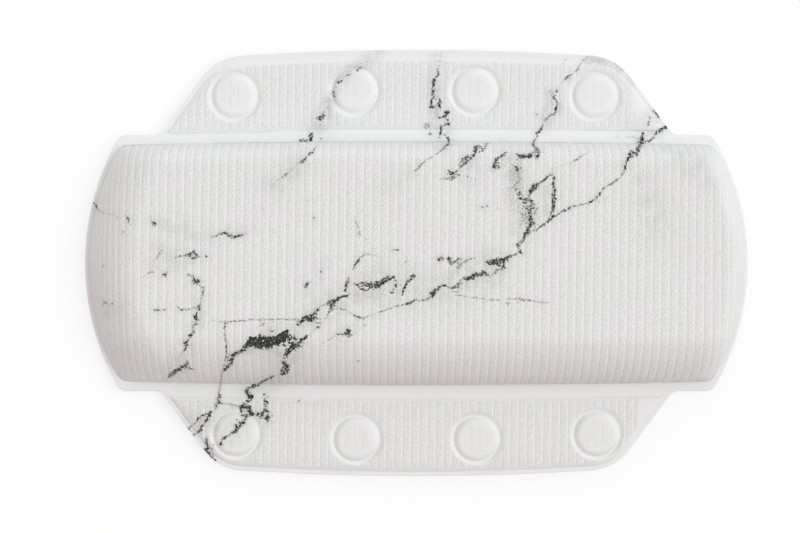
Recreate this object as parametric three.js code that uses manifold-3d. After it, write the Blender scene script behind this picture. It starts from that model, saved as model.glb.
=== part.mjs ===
// A bath pillow in embossed foam vinyl: a crowned neck bolster between two flaps that fold back
// along welded strips, with a row of suction cups plugged into the back of each flap.
// Units are millimetres. The pillow lies on its back: +Z is the side the head rests on,
// +Y points to the upper flap, and the origin is on the floor under the middle of the bolster.

import * as THREE from "three";
import { mergeVertices } from "three/addons/utils/BufferGeometryUtils.js";
import Module from "manifold-3d";

const wasm = await Module();
wasm.setup();

// Plan of the bolster section
const overallWidth = 560; // between the bowed ends
const endBowRadius = 210; // plan radius of each bowed end
const shoulderCornerRadius = 9; // outer corners beside the flaps
const sideRim = 4.5; // flat welded rim at each end
const weldReach = 103; // middle of the bolster to its weld line
const weldToFold = 5.5; // the smooth strip, from the weld line to the fold line
const weldLineRadius = 10000; // the weld lines bow outwards very slightly
const weldCornerRadius = 8.5;
const sharpestCorner = 0.5; // inner corners are never tighter than this

// Plan of a flap, measured out from its fold line
const flapReach = 71.5;
const flapTipRadius = 2300; // the free edge bows outwards
const flapBaseHalfWidth = 216.5;
const flapTipHalfWidth = 163.6; // where the slanted sides would meet the tip line
const flapCornerRadius = 45;
const notchRadius = 10; // hollow corner between a slanted side and the shoulder
const notchLip = 1.4; // the hollow corner starts this far out from the fold line

// The raised pad of a flap, inside its flat rims
const padBaseOffset = 5.7; // fold line to pad
const padSideRim = 4;
const upperTipRim = 7.4;
const lowerTipRim = 4.2;
const padCornerRadius = 39;
const padBaseCornerRadius = 3;

// Thicknesses and heights
const backSheet = 0.8;
const weldedFoam = 0.8; // the front foam where it is pressed flat
const foamWall = 3; // the front foam over the bolster
const padHeight = 4; // the front foam over a flap
const padEdgeRadius = 2.4;
const crownHeight = 48; // weld plane to the top of the bolster
const crownFall = 2.5; // how much lower the crown is near its shoulders
const upperShoulder = 21; // how far in the upper side of the bolster curves
const lowerShoulder = 34;
const leftShoulder = 42;
const rightShoulder = 23;
const upperShoulderPower = 2.5; // 2 is an ellipse, more is squarer
const shoulderPower = 2;
const backShoulder = 26; // how far in the bulge of the back sheet curves
const sheetGap = 0.3; // running gap between neighbouring pieces
const fillingGap = 0.4; // round the filling

// The fold: a narrow gap with chamfered edges, so that the flaps clear the bolster when they fold
const foldGap = 0.8;
const foldChamfer = 0.5;

// Suction cups and the ring welds round their heads
const outerCupInset = 39.3; // slanted side to the middle of an outer cup
const upperOuterCup = 31.8; // fold line to the middle of an outer cup
const upperInnerCup = 36; // fold line to the middle of an inner cup
const lowerOuterCup = 35.9;
const lowerInnerCup = 39.9;
const cupHeight = 11; // lip to the back sheet
const cupLipRadius = 20;
const cupLipWidth = 1.4;
const cupLipThickness = 0.9;
const cupHollowDepth = 5.6;
const cupCrownRadius = 7.4;
const cupCrownHeight = 8;
const cupCollarRadius = 8.2;
const cupCollarHeight = 1.6;
const cupNeckRadius = 4;
const cupNeckClearance = 0.6;
const cupHeadRadius = 12.5;
const cupHeadThickness = 2;
const cupHeadRounding = 0.9;
const pocketClearance = 0.6; // round the rim of a cup's head
const ringInnerRadius = 18.8;
const ringOuterRadius = 20.4;
const ringFlare = 1.1;
const buttonHeight = 5.2; // the foam over a cup's head, above the weld plane
const buttonPlateauRadius = 12.5;

// Smoothness of the meshes
const topSteps = 8;
const cornerSteps = 3;
const endSteps = 5;
const arcSteps = 5;
const bowSteps = 6;
const cupSegments = 18;
const ringSegments = 20;
const settleSteps = 8; // repeats that settle where two bowed edges meet
const overrun = 5; // how far a cutting tool runs past what it cuts

const weldPlane = cupHeight + backSheet; // where the front foam meets the back sheet
const bowCentre = overallWidth / 2 - endBowRadius; // centre of the right end's arc
const foldOffset = weldReach + weldToFold; // middle of the bolster to each fold line
const foldEdge = foldOffset - foldGap / 2; // where the bolster section ends
const seamTop = weldPlane + weldedFoam;

const colours = {
  foam: 0xe9e8e7,
  vinyl: 0xf1f1ef,
  filling: 0xf3efdf,
  cup: 0xdfe6e8,
};

const materials = {
  foam: new THREE.MeshStandardMaterial({ color: colours.foam, roughness: 0.62, metalness: 0 }),
  vinyl: new THREE.MeshStandardMaterial({ color: colours.vinyl, roughness: 0.38, metalness: 0 }),
  filling: new THREE.MeshStandardMaterial({ color: colours.filling, roughness: 0.95, metalness: 0 }),
  cup: new THREE.MeshStandardMaterial({ color: colours.cup, roughness: 0.15, metalness: 0 }),
};

// Solids

// A closed surface through rings of equally many points, each going round counterclockwise as
// seen from above, from the middle of the top face, over the edge, to the middle of the underside.
// Each four-sided patch is split along its shorter diagonal.
function ringLoft(rings) {
  const count = rings[0].length;
  const positions = [];
  const indices = [];
  for (const ring of rings) {
    for (const p of ring) positions.push(p.x, p.y, p.z);
  }
  for (let r = 0; r + 1 < rings.length; r++) {
    for (let i = 0; i < count; i++) {
      const next = (i + 1) % count;
      const a = r * count + i;
      const b = r * count + next;
      const c = a + count;
      const d = b + count;
      const oneWay = rings[r][i].distanceTo(rings[r + 1][next]);
      const otherWay = rings[r][next].distanceTo(rings[r + 1][i]);
      if (oneWay < otherWay) indices.push(a, c, d, a, d, b);
      else indices.push(a, c, b, b, c, d);
    }
  }
  const last = (rings.length - 1) * count;
  const topMiddle = rings.length * count;
  for (const ring of [rings[0], rings.at(-1)]) {
    positions.push(0, 0, ring.reduce((sum, p) => sum + p.z, 0) / count);
  }
  for (let i = 0; i < count; i++) {
    const next = (i + 1) % count;
    indices.push(topMiddle, i, next);
    indices.push(topMiddle + 1, last + next, last + i);
  }
  const geometry = new THREE.BufferGeometry();
  geometry.setAttribute("position", new THREE.Float32BufferAttribute(positions, 3));
  geometry.setIndex(indices);
  return geometry;
}

// A three.js geometry as a solid that can be joined and cut.
function solidOf(geometry) {
  const bare = geometry.clone();
  bare.deleteAttribute("normal");
  bare.deleteAttribute("uv");
  const merged = mergeVertices(bare, 1e-4);
  return new wasm.Manifold(
    new wasm.Mesh({
      numProp: 3,
      vertProperties: merged.attributes.position.array,
      triVerts: new Uint32Array(merged.index.array),
    }),
  );
}

function geometryOf(solid) {
  const mesh = solid.getMesh();
  const geometry = new THREE.BufferGeometry();
  geometry.setAttribute("position", new THREE.BufferAttribute(mesh.vertProperties, 3));
  geometry.setIndex(new THREE.BufferAttribute(mesh.triVerts, 1));
  return geometry;
}

// A turned solid about a vertical axis. The profile's points are [radius, height], from the axis
// at the bottom, round the outside, to the axis at the top.
function turned(profile, segments, x, y) {
  const geometry = new THREE.LatheGeometry(profile.map(([r, z]) => new THREE.Vector2(r, z)), segments);
  geometry.rotateX(Math.PI / 2);
  geometry.translate(x, y, 0);
  return geometry;
}

// A slab between two heights, rounded off along its upper edge only.
function roundedSlab(outline, bottom, top, radius, steps) {
  const shape = new THREE.Shape(outline);
  const slab = new THREE.ExtrudeGeometry(shape, {
    depth: top - bottom + overrun - 2 * radius,
    bevelEnabled: true,
    bevelThickness: radius,
    bevelSize: radius,
    bevelOffset: -radius,
    bevelSegments: steps,
  });
  slab.translate(0, 0, bottom - overrun + radius);
  const below = new THREE.BoxGeometry(2 * overallWidth, 2 * overallWidth, 2 * overrun);
  below.translate(0, 0, bottom - overrun);
  return solidOf(slab).subtract(solidOf(below));
}

// Outlines

// Goes round corners given as { x, y, radius }, and rounds each one that has a radius.
function roundedOutline(corners) {
  const points = [];
  corners.forEach((corner, i) => {
    const at = new THREE.Vector2(corner.x, corner.y);
    if (!corner.radius) {
      points.push(at);
      return;
    }
    const before = corners.at(i - 1);
    const after = corners[(i + 1) % corners.length];
    const inward = new THREE.Vector2(before.x, before.y).sub(at).normalize();
    const outward = new THREE.Vector2(after.x, after.y).sub(at).normalize();
    const half = Math.acos(inward.dot(outward)) / 2;
    const centre = inward.clone().add(outward).normalize().multiplyScalar(corner.radius / Math.sin(half));
    centre.add(at);
    const tangent = corner.radius / Math.tan(half);
    const start = inward.multiplyScalar(tangent).add(at).sub(centre).angle();
    const end = outward.multiplyScalar(tangent).add(at).sub(centre).angle();
    const turn = Math.atan2(Math.sin(end - start), Math.cos(end - start));
    for (let s = 0; s <= arcSteps; s++) {
      const angle = start + (turn * s) / arcSteps;
      points.push(
        new THREE.Vector2(
          centre.x + corner.radius * Math.cos(angle),
          centre.y + corner.radius * Math.sin(angle),
        ),
      );
    }
  });
  return points;
}

// Distance of the weld line from the middle of the bolster, at x. It bows outwards a little.
const weldLineY = (x) => weldReach - (x * x) / (2 * weldLineRadius);

// The centre of the rounding where a bowed end meets an upper edge at the height edgeAt(x).
function cornerCentre(edgeAt, endRadius, radius) {
  let x = bowCentre;
  for (let i = 0; i < settleSteps; i++) {
    const y = edgeAt(x) - radius;
    x = bowCentre + Math.sqrt((endRadius - radius) ** 2 - y * y);
  }
  return new THREE.Vector2(x, edgeAt(x) - radius);
}

// One closed loop round the bolster, counterclockwise from the middle of its right end.
function bolsterLoop(edgeAt, endRadius, radius) {
  const centre = cornerCentre(edgeAt, endRadius, radius);
  const endAngle = Math.atan2(centre.y, centre.x - bowCentre);
  const quarter = [];
  for (let i = 0; i < endSteps; i++) {
    const angle = (endAngle * i) / endSteps;
    quarter.push(
      new THREE.Vector2(bowCentre + endRadius * Math.cos(angle), endRadius * Math.sin(angle)),
    );
  }
  for (let i = 0; i < cornerSteps; i++) {
    const angle = endAngle + ((Math.PI / 2 - endAngle) * i) / cornerSteps;
    quarter.push(
      new THREE.Vector2(centre.x + radius * Math.cos(angle), centre.y + radius * Math.sin(angle)),
    );
  }
  for (let i = 0; i < topSteps; i++) {
    const x = centre.x * (1 - i / topSteps);
    quarter.push(new THREE.Vector2(x, edgeAt(x)));
  }
  const upperLeft = [new THREE.Vector2(0, edgeAt(0))];
  for (const p of quarter.slice(1).reverse()) upperLeft.push(new THREE.Vector2(-p.x, p.y));
  const upper = [...quarter, ...upperLeft];
  const lower = upper.map((p) => new THREE.Vector2(-p.x, -p.y));
  return [...upper, ...lower];
}

const outerLoop = (inset) =>
  bolsterLoop(() => foldEdge - inset, endBowRadius - inset, shoulderCornerRadius);

const weldLoop = (inset) =>
  bolsterLoop(
    (x) => weldLineY(x) - inset,
    endBowRadius - sideRim - inset,
    Math.max(weldCornerRadius - inset, sharpestCorner),
  );

// Bolster

// From 0 at an edge to 1 at a distance of width from it, along a superellipse.
function rise(distance, width, power) {
  const left = 1 - Math.min(Math.max(distance, 0), width) / width;
  return (1 - left ** power) ** (1 / power);
}

// Distances in from the weld line, above or below and at the end, for a surface inset from it.
function insetsAt(x, y, inset) {
  const across = Math.abs(x);
  const up = Math.abs(y);
  const radius = Math.max(weldCornerRadius - inset, sharpestCorner);
  const endRadius = endBowRadius - sideRim - inset;
  const edge = weldLineY(x) - inset - up;
  const end = endRadius - Math.hypot(across - bowCentre, up);
  const centre = cornerCentre((at) => weldLineY(at) - inset, endRadius, radius);
  const angle = Math.atan2(up - centre.y, across - centre.x);
  const endAngle = Math.atan2(centre.y, centre.x - bowCentre);
  const inCorner = up > centre.y && angle >= endAngle && angle <= Math.PI / 2;
  const nearest = Math.min(edge, end);
  if (!inCorner || nearest <= 0) return { edge, end };
  const share = (radius - Math.hypot(across - centre.x, up - centre.y)) / nearest;
  return { edge: edge * share, end: end * share };
}

// Height of the crowned front over the weld plane.
function crownAt(x, y, inset, height) {
  const { edge, end } = insetsAt(x, y, inset);
  const edgeShare =
    y > 0
      ? rise(edge, upperShoulder - inset, upperShoulderPower)
      : rise(edge, lowerShoulder - inset, shoulderPower);
  const endShare = rise(end, (x > 0 ? rightShoulder : leftShoulder) - inset, shoulderPower);
  const fall = (crownFall * ((2 * x / overallWidth) ** 2 + (y / weldReach) ** 2)) / 2;
  return (height - fall) * edgeShare * endShare;
}

// Depth of the back sheet's soft bulge, 0 at the weld line and cupHeight over its flat middle.
function bulgeAt(x, y, inset) {
  const { edge, end } = insetsAt(x, y, inset);
  const share = (distance) => 1 - (1 - Math.min(Math.max(distance, 0), backShoulder) / backShoulder) ** 2;
  return cupHeight * share(edge) * share(end);
}

// How far the rings of each surface lie from its weld line in to the spine of the bolster.
const crownShares = [0.007, 0.03, 0.07, 0.13, 0.21, 0.32, 0.46, 0.75];
const hollowShares = crownShares.filter((_, i) => i % 2 === 1);
const backShares = [0.05, 0.12, 0.22, 0.5];
const spineHalf = overallWidth / 2 - weldReach - 2 * sideRim;

function towardsSpine(loop, share, heightAt) {
  return loop.map((p) => {
    const spineX = THREE.MathUtils.clamp(p.x, -spineHalf, spineHalf);
    const x = p.x + (spineX - p.x) * share;
    const y = p.y * (1 - share);
    return new THREE.Vector3(x, y, heightAt(x, y));
  });
}

const level = (loop, z) => loop.map((p) => new THREE.Vector3(p.x, p.y, z));

// The hollow behind the front foam, from its roof down to the weld plane.
function hollowRings() {
  const loop = weldLoop(foamWall);
  const roof = (x, y) => weldPlane + crownAt(x, y, foamWall, crownHeight - foamWall);
  return [level(loop, weldPlane), ...hollowShares.map((share) => towardsSpine(loop, share, roof))];
}

// The front foam: crowned over the filling, pressed flat where it is welded.
function bolsterCover() {
  const loop = weldLoop(0);
  const outside = (x, y) => seamTop + crownAt(x, y, 0, crownHeight - weldedFoam);
  return ringLoft([
    ...crownShares.toReversed().map((share) => towardsSpine(loop, share, outside)),
    level(loop, seamTop),
    level(outerLoop(foldChamfer), seamTop),
    level(outerLoop(0), seamTop - foldChamfer),
    level(outerLoop(0), weldPlane),
    ...hollowRings(),
  ]);
}

// The filling is the shape of the hollow between the front foam and the back sheet, drawn in
// towards its middle by a small gap on every side.
function bolsterFilling() {
  const shrink = (gap, reach) => 1 - gap / reach;
  const shrinkX = shrink(fillingGap, overallWidth / 2 - sideRim - foamWall);
  const shrinkY = shrink(fillingGap, weldReach - foamWall);
  const shrinkUp = shrink(fillingGap, crownHeight - foamWall);
  const shrinkDown = shrink(fillingGap, cupHeight);
  const drawnIn = (p) =>
    new THREE.Vector3(
      p.x * shrinkX,
      p.y * shrinkY,
      weldPlane + (p.z - weldPlane) * (p.z > weldPlane ? shrinkUp : shrinkDown),
    );
  const floor = (x, y) => weldPlane - bulgeAt(x, y, foamWall);
  const roofRings = hollowRings().reverse();
  const floorRings = backShares.map((share) => towardsSpine(weldLoop(foamWall), share, floor));
  return ringLoft([...roofRings, ...floorRings].map((ring) => ring.map(drawnIn)));
}

// The back sheet under the bolster, with a soft bulge that is flat where it lies on the floor.
function bolsterBack() {
  const loop = weldLoop(0);
  const inside = (x, y) => weldPlane - bulgeAt(x, y, 0);
  const outside = (x, y) => cupHeight - bulgeAt(x, y, 0);
  return ringLoft([
    ...backShares.toReversed().map((share) => towardsSpine(loop, share, inside)),
    level(loop, weldPlane),
    level(outerLoop(0), weldPlane),
    level(outerLoop(0), cupHeight + foldChamfer),
    level(outerLoop(foldChamfer), cupHeight),
    level(loop, cupHeight),
    ...backShares.map((share) => towardsSpine(loop, share, outside)),
  ]);
}

// Flaps

const sideSlope = (flapBaseHalfWidth - flapTipHalfWidth) / flapReach;
const sideAt = (out) => flapBaseHalfWidth - sideSlope * out;
const tipAt = (x, rim) => flapReach - rim - (x * x) / (2 * flapTipRadius);

// Points from left to right along a bowed line, as corners with no radius.
function bowedLine(halfWidth, lineAt) {
  const points = [];
  for (let i = 0; i <= bowSteps; i++) {
    const x = halfWidth * ((2 * i) / bowSteps - 1);
    points.push({ x, y: lineAt(x) });
  }
  return points;
}

// The corner where a slanted side, moved in by rim, meets the tip, moved in by tipRim.
function tipCorner(rim, tipRim) {
  const shift = rim * Math.hypot(1, sideSlope);
  let x = flapTipHalfWidth;
  for (let i = 0; i < settleSteps; i++) x = sideAt(tipAt(x, tipRim)) - shift;
  return { x, y: tipAt(x, tipRim) };
}

// Outline of a flap with the fold line on y = 0 and its tip towards +y.
function flapOutline() {
  const corner = tipCorner(0, 0);
  const tangent = flapCornerRadius * Math.tan(Math.atan2(1, sideSlope) / 2);
  const bow = bowedLine(corner.x - 2 * tangent, (x) => tipAt(x, 0)).reverse();
  const lean = Math.PI / 2 - Math.atan(sideSlope);
  const notchStart = flapBaseHalfWidth + notchRadius * Math.tan(lean / 2);
  const notch = [];
  for (let i = 0; i <= arcSteps; i++) {
    const angle = -Math.PI / 2 - (lean * i) / arcSteps;
    notch.push({
      x: notchStart + notchRadius * Math.cos(angle),
      y: notchRadius + notchRadius * Math.sin(angle),
    });
  }
  const drop = notchRadius - notchLip;
  const lipX = notchStart - Math.sqrt(notchRadius ** 2 - drop ** 2);
  const right = notch.filter((p) => p.y > notchLip);
  right.unshift({ x: lipX, y: foldGap / 2 }, { x: lipX, y: notchLip });
  const left = right.map((p) => ({ x: -p.x, y: p.y })).reverse();
  return roundedOutline([
    ...right,
    { ...corner, radius: flapCornerRadius },
    ...bow,
    { x: -corner.x, y: corner.y, radius: flapCornerRadius },
    ...left,
  ]);
}

// Outline of the raised pad inside the flap's rims.
function padOutline(tipRim) {
  const corner = tipCorner(padSideRim, tipRim);
  const baseAt = (x) => padBaseOffset - (x * x) / (2 * weldLineRadius);
  const baseX = sideAt(padBaseOffset) - padSideRim * Math.hypot(1, sideSlope);
  const tangent = padCornerRadius * Math.tan(Math.atan2(1, sideSlope) / 2);
  return roundedOutline([
    ...bowedLine(baseX - padBaseOffset * 2, baseAt),
    { x: baseX, y: baseAt(baseX), radius: padBaseCornerRadius },
    { ...corner, radius: padCornerRadius },
    ...bowedLine(corner.x - 2 * tangent, (x) => tipAt(x, tipRim)).reverse(),
    { x: -corner.x, y: corner.y, radius: padCornerRadius },
    { x: -baseX, y: baseAt(baseX), radius: padBaseCornerRadius },
  ]);
}

// Where the four cups of a row sit, evenly spaced, in the flap's own plan. Both rows are as wide.
const outerCupX = sideAt((upperOuterCup + lowerOuterCup) / 2) - outerCupInset;
const cupRow = (outer, inner) => [
  { x: -outerCupX, y: outer },
  { x: -outerCupX / 3, y: inner },
  { x: outerCupX / 3, y: inner },
  { x: outerCupX, y: outer },
];

// The front foam of a flap: a padded slab, pressed down in a ring round each cup's head.
function flapCover(tipRim, cupPlaces) {
  const padTop = weldPlane + padHeight;
  const pocketTop = weldPlane + cupHeadThickness + 2 * sheetGap;
  const buttonTop = weldPlane + buttonHeight;
  const buttonEdge = ringInnerRadius - buttonPlateauRadius;
  const buttonRise = buttonTop - seamTop;
  const edge = [1, 0.85, 0.6, 0.3, 0].map((share) => [
    buttonPlateauRadius + buttonEdge * share,
    seamTop + buttonRise * Math.sqrt(1 - share ** 2),
  ]);
  let cover = roundedSlab(padOutline(tipRim), weldPlane, padTop, padEdgeRadius, 3);
  for (const { x, y } of cupPlaces) {
    const ring = [
      [0, seamTop],
      [ringOuterRadius, seamTop],
      [ringOuterRadius + ringFlare / 4, padTop - ringFlare],
      [ringOuterRadius + ringFlare, padTop],
      [ringOuterRadius + ringFlare, padTop + overrun],
      [0, padTop + overrun],
    ];
    cover = cover.subtract(solidOf(turned(ring, ringSegments, x, y)));
  }
  cover = cover.add(roundedSlab(flapOutline(), weldPlane, seamTop, foldChamfer, 1));
  for (const { x, y } of cupPlaces) {
    const button = [[0, weldPlane], [ringInnerRadius, weldPlane], ...edge, [0, buttonTop]];
    const pocketRadius = cupHeadRadius + pocketClearance;
    const pocket = [
      [0, weldPlane - overrun],
      [pocketRadius, weldPlane - overrun],
      [pocketRadius, pocketTop],
      [0, pocketTop],
    ];
    cover = cover.add(solidOf(turned(button, ringSegments, x, y)));
    cover = cover.subtract(solidOf(turned(pocket, ringSegments, x, y)));
  }
  return cover;
}

// The back sheet of a flap, with a hole for each cup's neck.
function flapBack(cupPlaces) {
  const turnOver = (solid) => {
    const geometry = geometryOf(solid);
    geometry.rotateY(Math.PI);
    return solidOf(geometry.toNonIndexed());
  };
  let back = turnOver(roundedSlab(flapOutline(), -weldPlane, -cupHeight, foldChamfer, 1));
  for (const { x, y } of cupPlaces) {
    const holeRadius = cupNeckRadius + cupNeckClearance;
    const hole = [
      [0, cupHeight - overrun],
      [holeRadius, cupHeight - overrun],
      [holeRadius, weldPlane + overrun],
      [0, weldPlane + overrun],
    ];
    back = back.subtract(solidOf(turned(hole, cupSegments, x, y)));
  }
  return back;
}

// Suction cups

// One moulding: a thin-lipped bell, a collar under the back sheet, a neck through it and a
// wide head in the pocket behind the front foam.
function suctionCup() {
  const lipInner = cupLipRadius - cupLipWidth;
  const hollow = [0, 0.4, 0.7, 0.9].map((share) => [
    lipInner * share,
    cupHollowDepth * (1 - share ** 2) ** 0.8,
  ]);
  const bellRise = cupCrownHeight - cupLipThickness;
  const bellRun = cupLipRadius - cupCrownRadius;
  const bell = [0, 0.35, 0.7, 1].map((share) => [
    cupLipRadius - bellRun * share,
    cupLipThickness + bellRise * share ** 1.25,
  ]);
  const collarTop = cupHeight - sheetGap;
  const headBottom = weldPlane + sheetGap;
  const headTop = headBottom + cupHeadThickness;
  const profile = [
    ...hollow,
    [lipInner, 0],
    [cupLipRadius, 0],
    ...bell,
    [cupCrownRadius, collarTop - cupCollarHeight],
    [cupCollarRadius, collarTop - cupCollarHeight / 2],
    [cupCollarRadius, collarTop],
    [cupNeckRadius, collarTop],
    [cupNeckRadius, headBottom],
    [cupHeadRadius, headBottom],
    [cupHeadRadius, headTop - cupHeadRounding],
    [cupHeadRadius - cupHeadRounding, headTop],
    [0, headTop],
  ];
  return turned(profile, cupSegments, 0, 0);
}

// Assembly

function mesh(name, geometry, material) {
  const made = new THREE.Mesh(geometry, material);
  made.name = name;
  return made;
}

// A flap with its cups, folded out flat beside the bolster. side is 1 for +Y and -1 for -Y.
function flap(name, side, tipRim, cupPlaces) {
  const group = new THREE.Group();
  group.position.y = side * foldOffset;
  const place = (solid) => {
    const geometry = geometryOf(solid);
    if (side < 0) geometry.rotateZ(Math.PI);
    return geometry;
  };
  group.add(mesh(name + "_flap_cover", place(flapCover(tipRim, cupPlaces)), materials.foam));
  group.add(mesh(name + "_flap_back", place(flapBack(cupPlaces)), materials.vinyl));
  cupPlaces.forEach(({ x, y }, i) => {
    const cup = mesh(name + "_suction_cup_" + (i + 1), suctionCup(), materials.cup);
    cup.position.set(x, side * y, 0);
    group.add(cup);
  });
  return group;
}

const bathPillow = new THREE.Group();
bathPillow.add(mesh("bolster_cover", bolsterCover(), materials.foam));
bathPillow.add(mesh("bolster_filling", bolsterFilling(), materials.filling));
bathPillow.add(mesh("bolster_back", bolsterBack(), materials.vinyl));
bathPillow.add(flap("upper", 1, upperTipRim, cupRow(upperOuterCup, upperInnerCup)));
bathPillow.add(flap("lower", -1, lowerTipRim, cupRow(lowerOuterCup, lowerInnerCup)));

export default bathPillow;
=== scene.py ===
import math

import bpy
import numpy as np
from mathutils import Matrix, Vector, geometry


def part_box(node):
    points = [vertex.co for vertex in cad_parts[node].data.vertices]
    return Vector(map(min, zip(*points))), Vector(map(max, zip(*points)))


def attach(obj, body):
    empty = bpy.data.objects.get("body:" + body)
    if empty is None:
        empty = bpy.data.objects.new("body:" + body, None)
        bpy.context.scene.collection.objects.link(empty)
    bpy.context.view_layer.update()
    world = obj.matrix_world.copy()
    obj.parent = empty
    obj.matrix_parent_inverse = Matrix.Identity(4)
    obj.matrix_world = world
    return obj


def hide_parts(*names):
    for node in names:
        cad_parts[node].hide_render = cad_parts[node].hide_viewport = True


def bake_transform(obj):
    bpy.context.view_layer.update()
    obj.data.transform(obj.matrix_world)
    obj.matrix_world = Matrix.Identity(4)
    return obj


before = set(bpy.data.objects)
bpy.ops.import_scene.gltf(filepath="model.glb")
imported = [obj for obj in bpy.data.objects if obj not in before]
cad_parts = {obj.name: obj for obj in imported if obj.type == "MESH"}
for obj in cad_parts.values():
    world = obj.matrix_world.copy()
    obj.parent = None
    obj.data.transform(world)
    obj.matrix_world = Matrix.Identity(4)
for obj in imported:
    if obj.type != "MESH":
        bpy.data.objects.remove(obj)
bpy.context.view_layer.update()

# Lengths are in millimetres here, as in the part's source, and turn into metres in the meshes.
MM = 0.001

# Plan of the bolster
END_X = 280
BOW_CENTRE = 70
END_RADIUS = 210
EAR_RADIUS = 9
SIDE_RIM = 4.5
WELD_REACH = 103
WELD_LINE_RADIUS = 10000
WELD_CORNER = 8.5
STRIP_EDGE = 108.1
TUCK = 0.5

# Plan of a flap
FOLD = 108.5
FLAP_REACH = 71.5
TIP_RADIUS = 2300
BASE_HALF = 216.5
TIP_HALF = 163.6
FLAP_CORNER = 45
NOTCH_RADIUS = 10
NOTCH_GAP = 1.6

# Heights and thicknesses; the three planes are counted from the lips of the cups
LIP_PLANE = 11
WELD_PLANE = 11.8
SEAM_TOP = 12.6
CROWN = 47.2
CROWN_FALL = 2.5
SAG = 0.5
CROSS_SAG = 0.25
SHEET = 0.8
FOAM_WALL = 2.8
TIP_DROP = 0.35

# Shoulders of the bolster: how wide they are and the power of their rounding
UPPER_FLAT = 1.3
UPPER_SHOULDER = (21, 2.5)
LOWER_SHOULDER = (42, 1.85)
LEFT_SHOULDER = (46, 1.6)
RIGHT_SHOULDER = (23, 2)
BACK_SHOULDER = 26

# Raised pad of a flap: a step at its edge and a soft pillow behind it, each with a width and a power
PAD_RISE = 3.2
PAD_STEP = (1.3, 1.5)
PAD_PILLOW = (14, 1.7)
STEP_SHARE = 0.28
PAD_SIDE_RIM = 4
PAD_CORNER = 39
PAD_BASE_BEND = -140
PAD_BASE_RUN = 60

# Ring welds, the raised buttons inside them and the pockets under the buttons
RING_INNER = 18.8
RING_OUTER = 20.4
RING_FLARE = 1.4
RING_PILLOW = (5, 1.7)
RING_STEP_SHARE = 0.2
RING_LEVEL = 1.15
RING_UNEVEN = 0.85
RING_SNAP = 0.34
BUTTON_RISE = 4.4
BUTTON_FLAT = 13.4
BUTTON_POWER = 0.85
POCKET_RADIUS = 15.6
POCKET_WALL = 1.8
POCKET_DEPTH = 2.9

# What differs between the two flaps: where the pad starts at its left and right, the flat rim at its
# tip, the x up to which it has ribs, and how far the ribs and the ring welds are moved
FLAPS = {
    "upper": {
        "side": 1, "pad_base": (2.8, 4.7), "tip_rim": 7.4, "ribs_to": 186, "rib_shift": 0,
        "ring_shift": (-1.4, 0.6),
    },
    "lower": {
        "side": -1, "pad_base": (5.9, 5.9), "tip_rim": 4.2, "ribs_to": 190, "rib_shift": 2.5,
        "ring_shift": (0, 0),
    },
}

# Ends of the bolster's meshes, and how softly its rim's rounding sets in beside the flaps
END_MARGIN = 0.5
END_INSET = 0.4
END_CAP = 0.2
RIM_FADE = 4

# Back sheet: its gap to the front, its slack, and the grid of its flat parts
FRONT_GAP = 0.05
WRINKLE = 0.55
FINE_WRINKLE = 0.22
WRINKLE_FADE = 4
GRID_BEND_ROW = 0.7
GRID_BEND_REACH = 6
GRID_ROW = 5
GRID_COLUMN = 6.5
GRID_MARGIN = 1.2

# Embossed ribs: where points lie on a rib, how ribs lean, and where they fade out
PITCH = 6.96
BOLSTER_PHASES = (0, 0.1, 0.2, 0.38, 0.62, 0.8, 0.9)
FLAP_PHASES = (0, 0.09, 0.18, 0.3, 0.43, 0.57, 0.7, 0.82, 0.91)
BOLSTER_SHIFT = 2.6
CHANNEL_SHARE = 0.13
FLANK_SHARE = 0.13
BODY_BOW = 0.1
TILT = 0.0137
BOLSTER_TILT_FADE = (205, 50)
FLAP_TILT_FADE = (198, 16)
RIB_DEPTH = 0.3
FLAP_RIB_SHARE = 0.8
BUTTON_RIB_SHARE = 0.5
BUTTON_RIB_RADIUS = 13
BUTTON_RIB_FADE = 3
RIB_EDGE_FADE = 2.5
RIB_END_FADE = 8
RIB_PAD_FADE = 1.6
RIB_RING_FADE = 1.5
RIBS_TO_FADE = 5

# Knit on the ribs: slanted dents and flecks, the foam's own grain, and how dark they look, with painted
# shade in the dents and in the grooves between ribs
STITCH_PITCH = 4.2
STITCH_SLOPE = 1.3
STITCH_DEPTH = 0.24
GROOVE_DEPTH = 0.16
FLECK_TURN = -52
FLECK_SCALE = (0.28, 0.8, 1)
FLECK_RISE = 0.5
KNIT_GRAIN = 0.12
PLAIN_GRAIN = 0.08
# Painted shade in the knit's dents and grooves, and darkening of the foam's grain
DENT_PAINTED_SHADE = 0.08
GROOVE_PAINTED_SHADE = 0.1
CELL_SHADE = 0.02

# Suction cups and filling
CUP_LIP_RADIUS = 20
CUP_LIP_WIDTH = 1.4
CUP_LIP_THICKNESS = 0.9
CUP_BEVEL = 0.2
CUP_HOLLOW_DEPTH = 5.6
CUP_HOLLOW_POWER = 0.8
CUP_CROWN_RADIUS = 7.4
CUP_CROWN_HEIGHT = 8
CUP_BELL_POWER = 1.25
CUP_COLLAR_RADIUS = 8.2
CUP_COLLAR_HEIGHT = 1.6
CUP_NECK_RADIUS = 4
CUP_HEAD_RADIUS = 12.5
CUP_HEAD_THICKNESS = 2
CUP_HEAD_ROUNDING = 0.9
NECK_CLEARANCE = 0.6
SHEET_GAP = 0.3
FILLING_GAP = 0.6
FILLING_LIFT = 0.78
FILLING_EDGE = 0.6

# Camera, from the photograph's perspective
IMAGE_WIDTH = 800
IMAGE_HEIGHT = 533
FOCAL_PIXELS = 1515
SENSOR = 36
CAMERA = (-13.9, -3.0, 1292.6)

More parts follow.
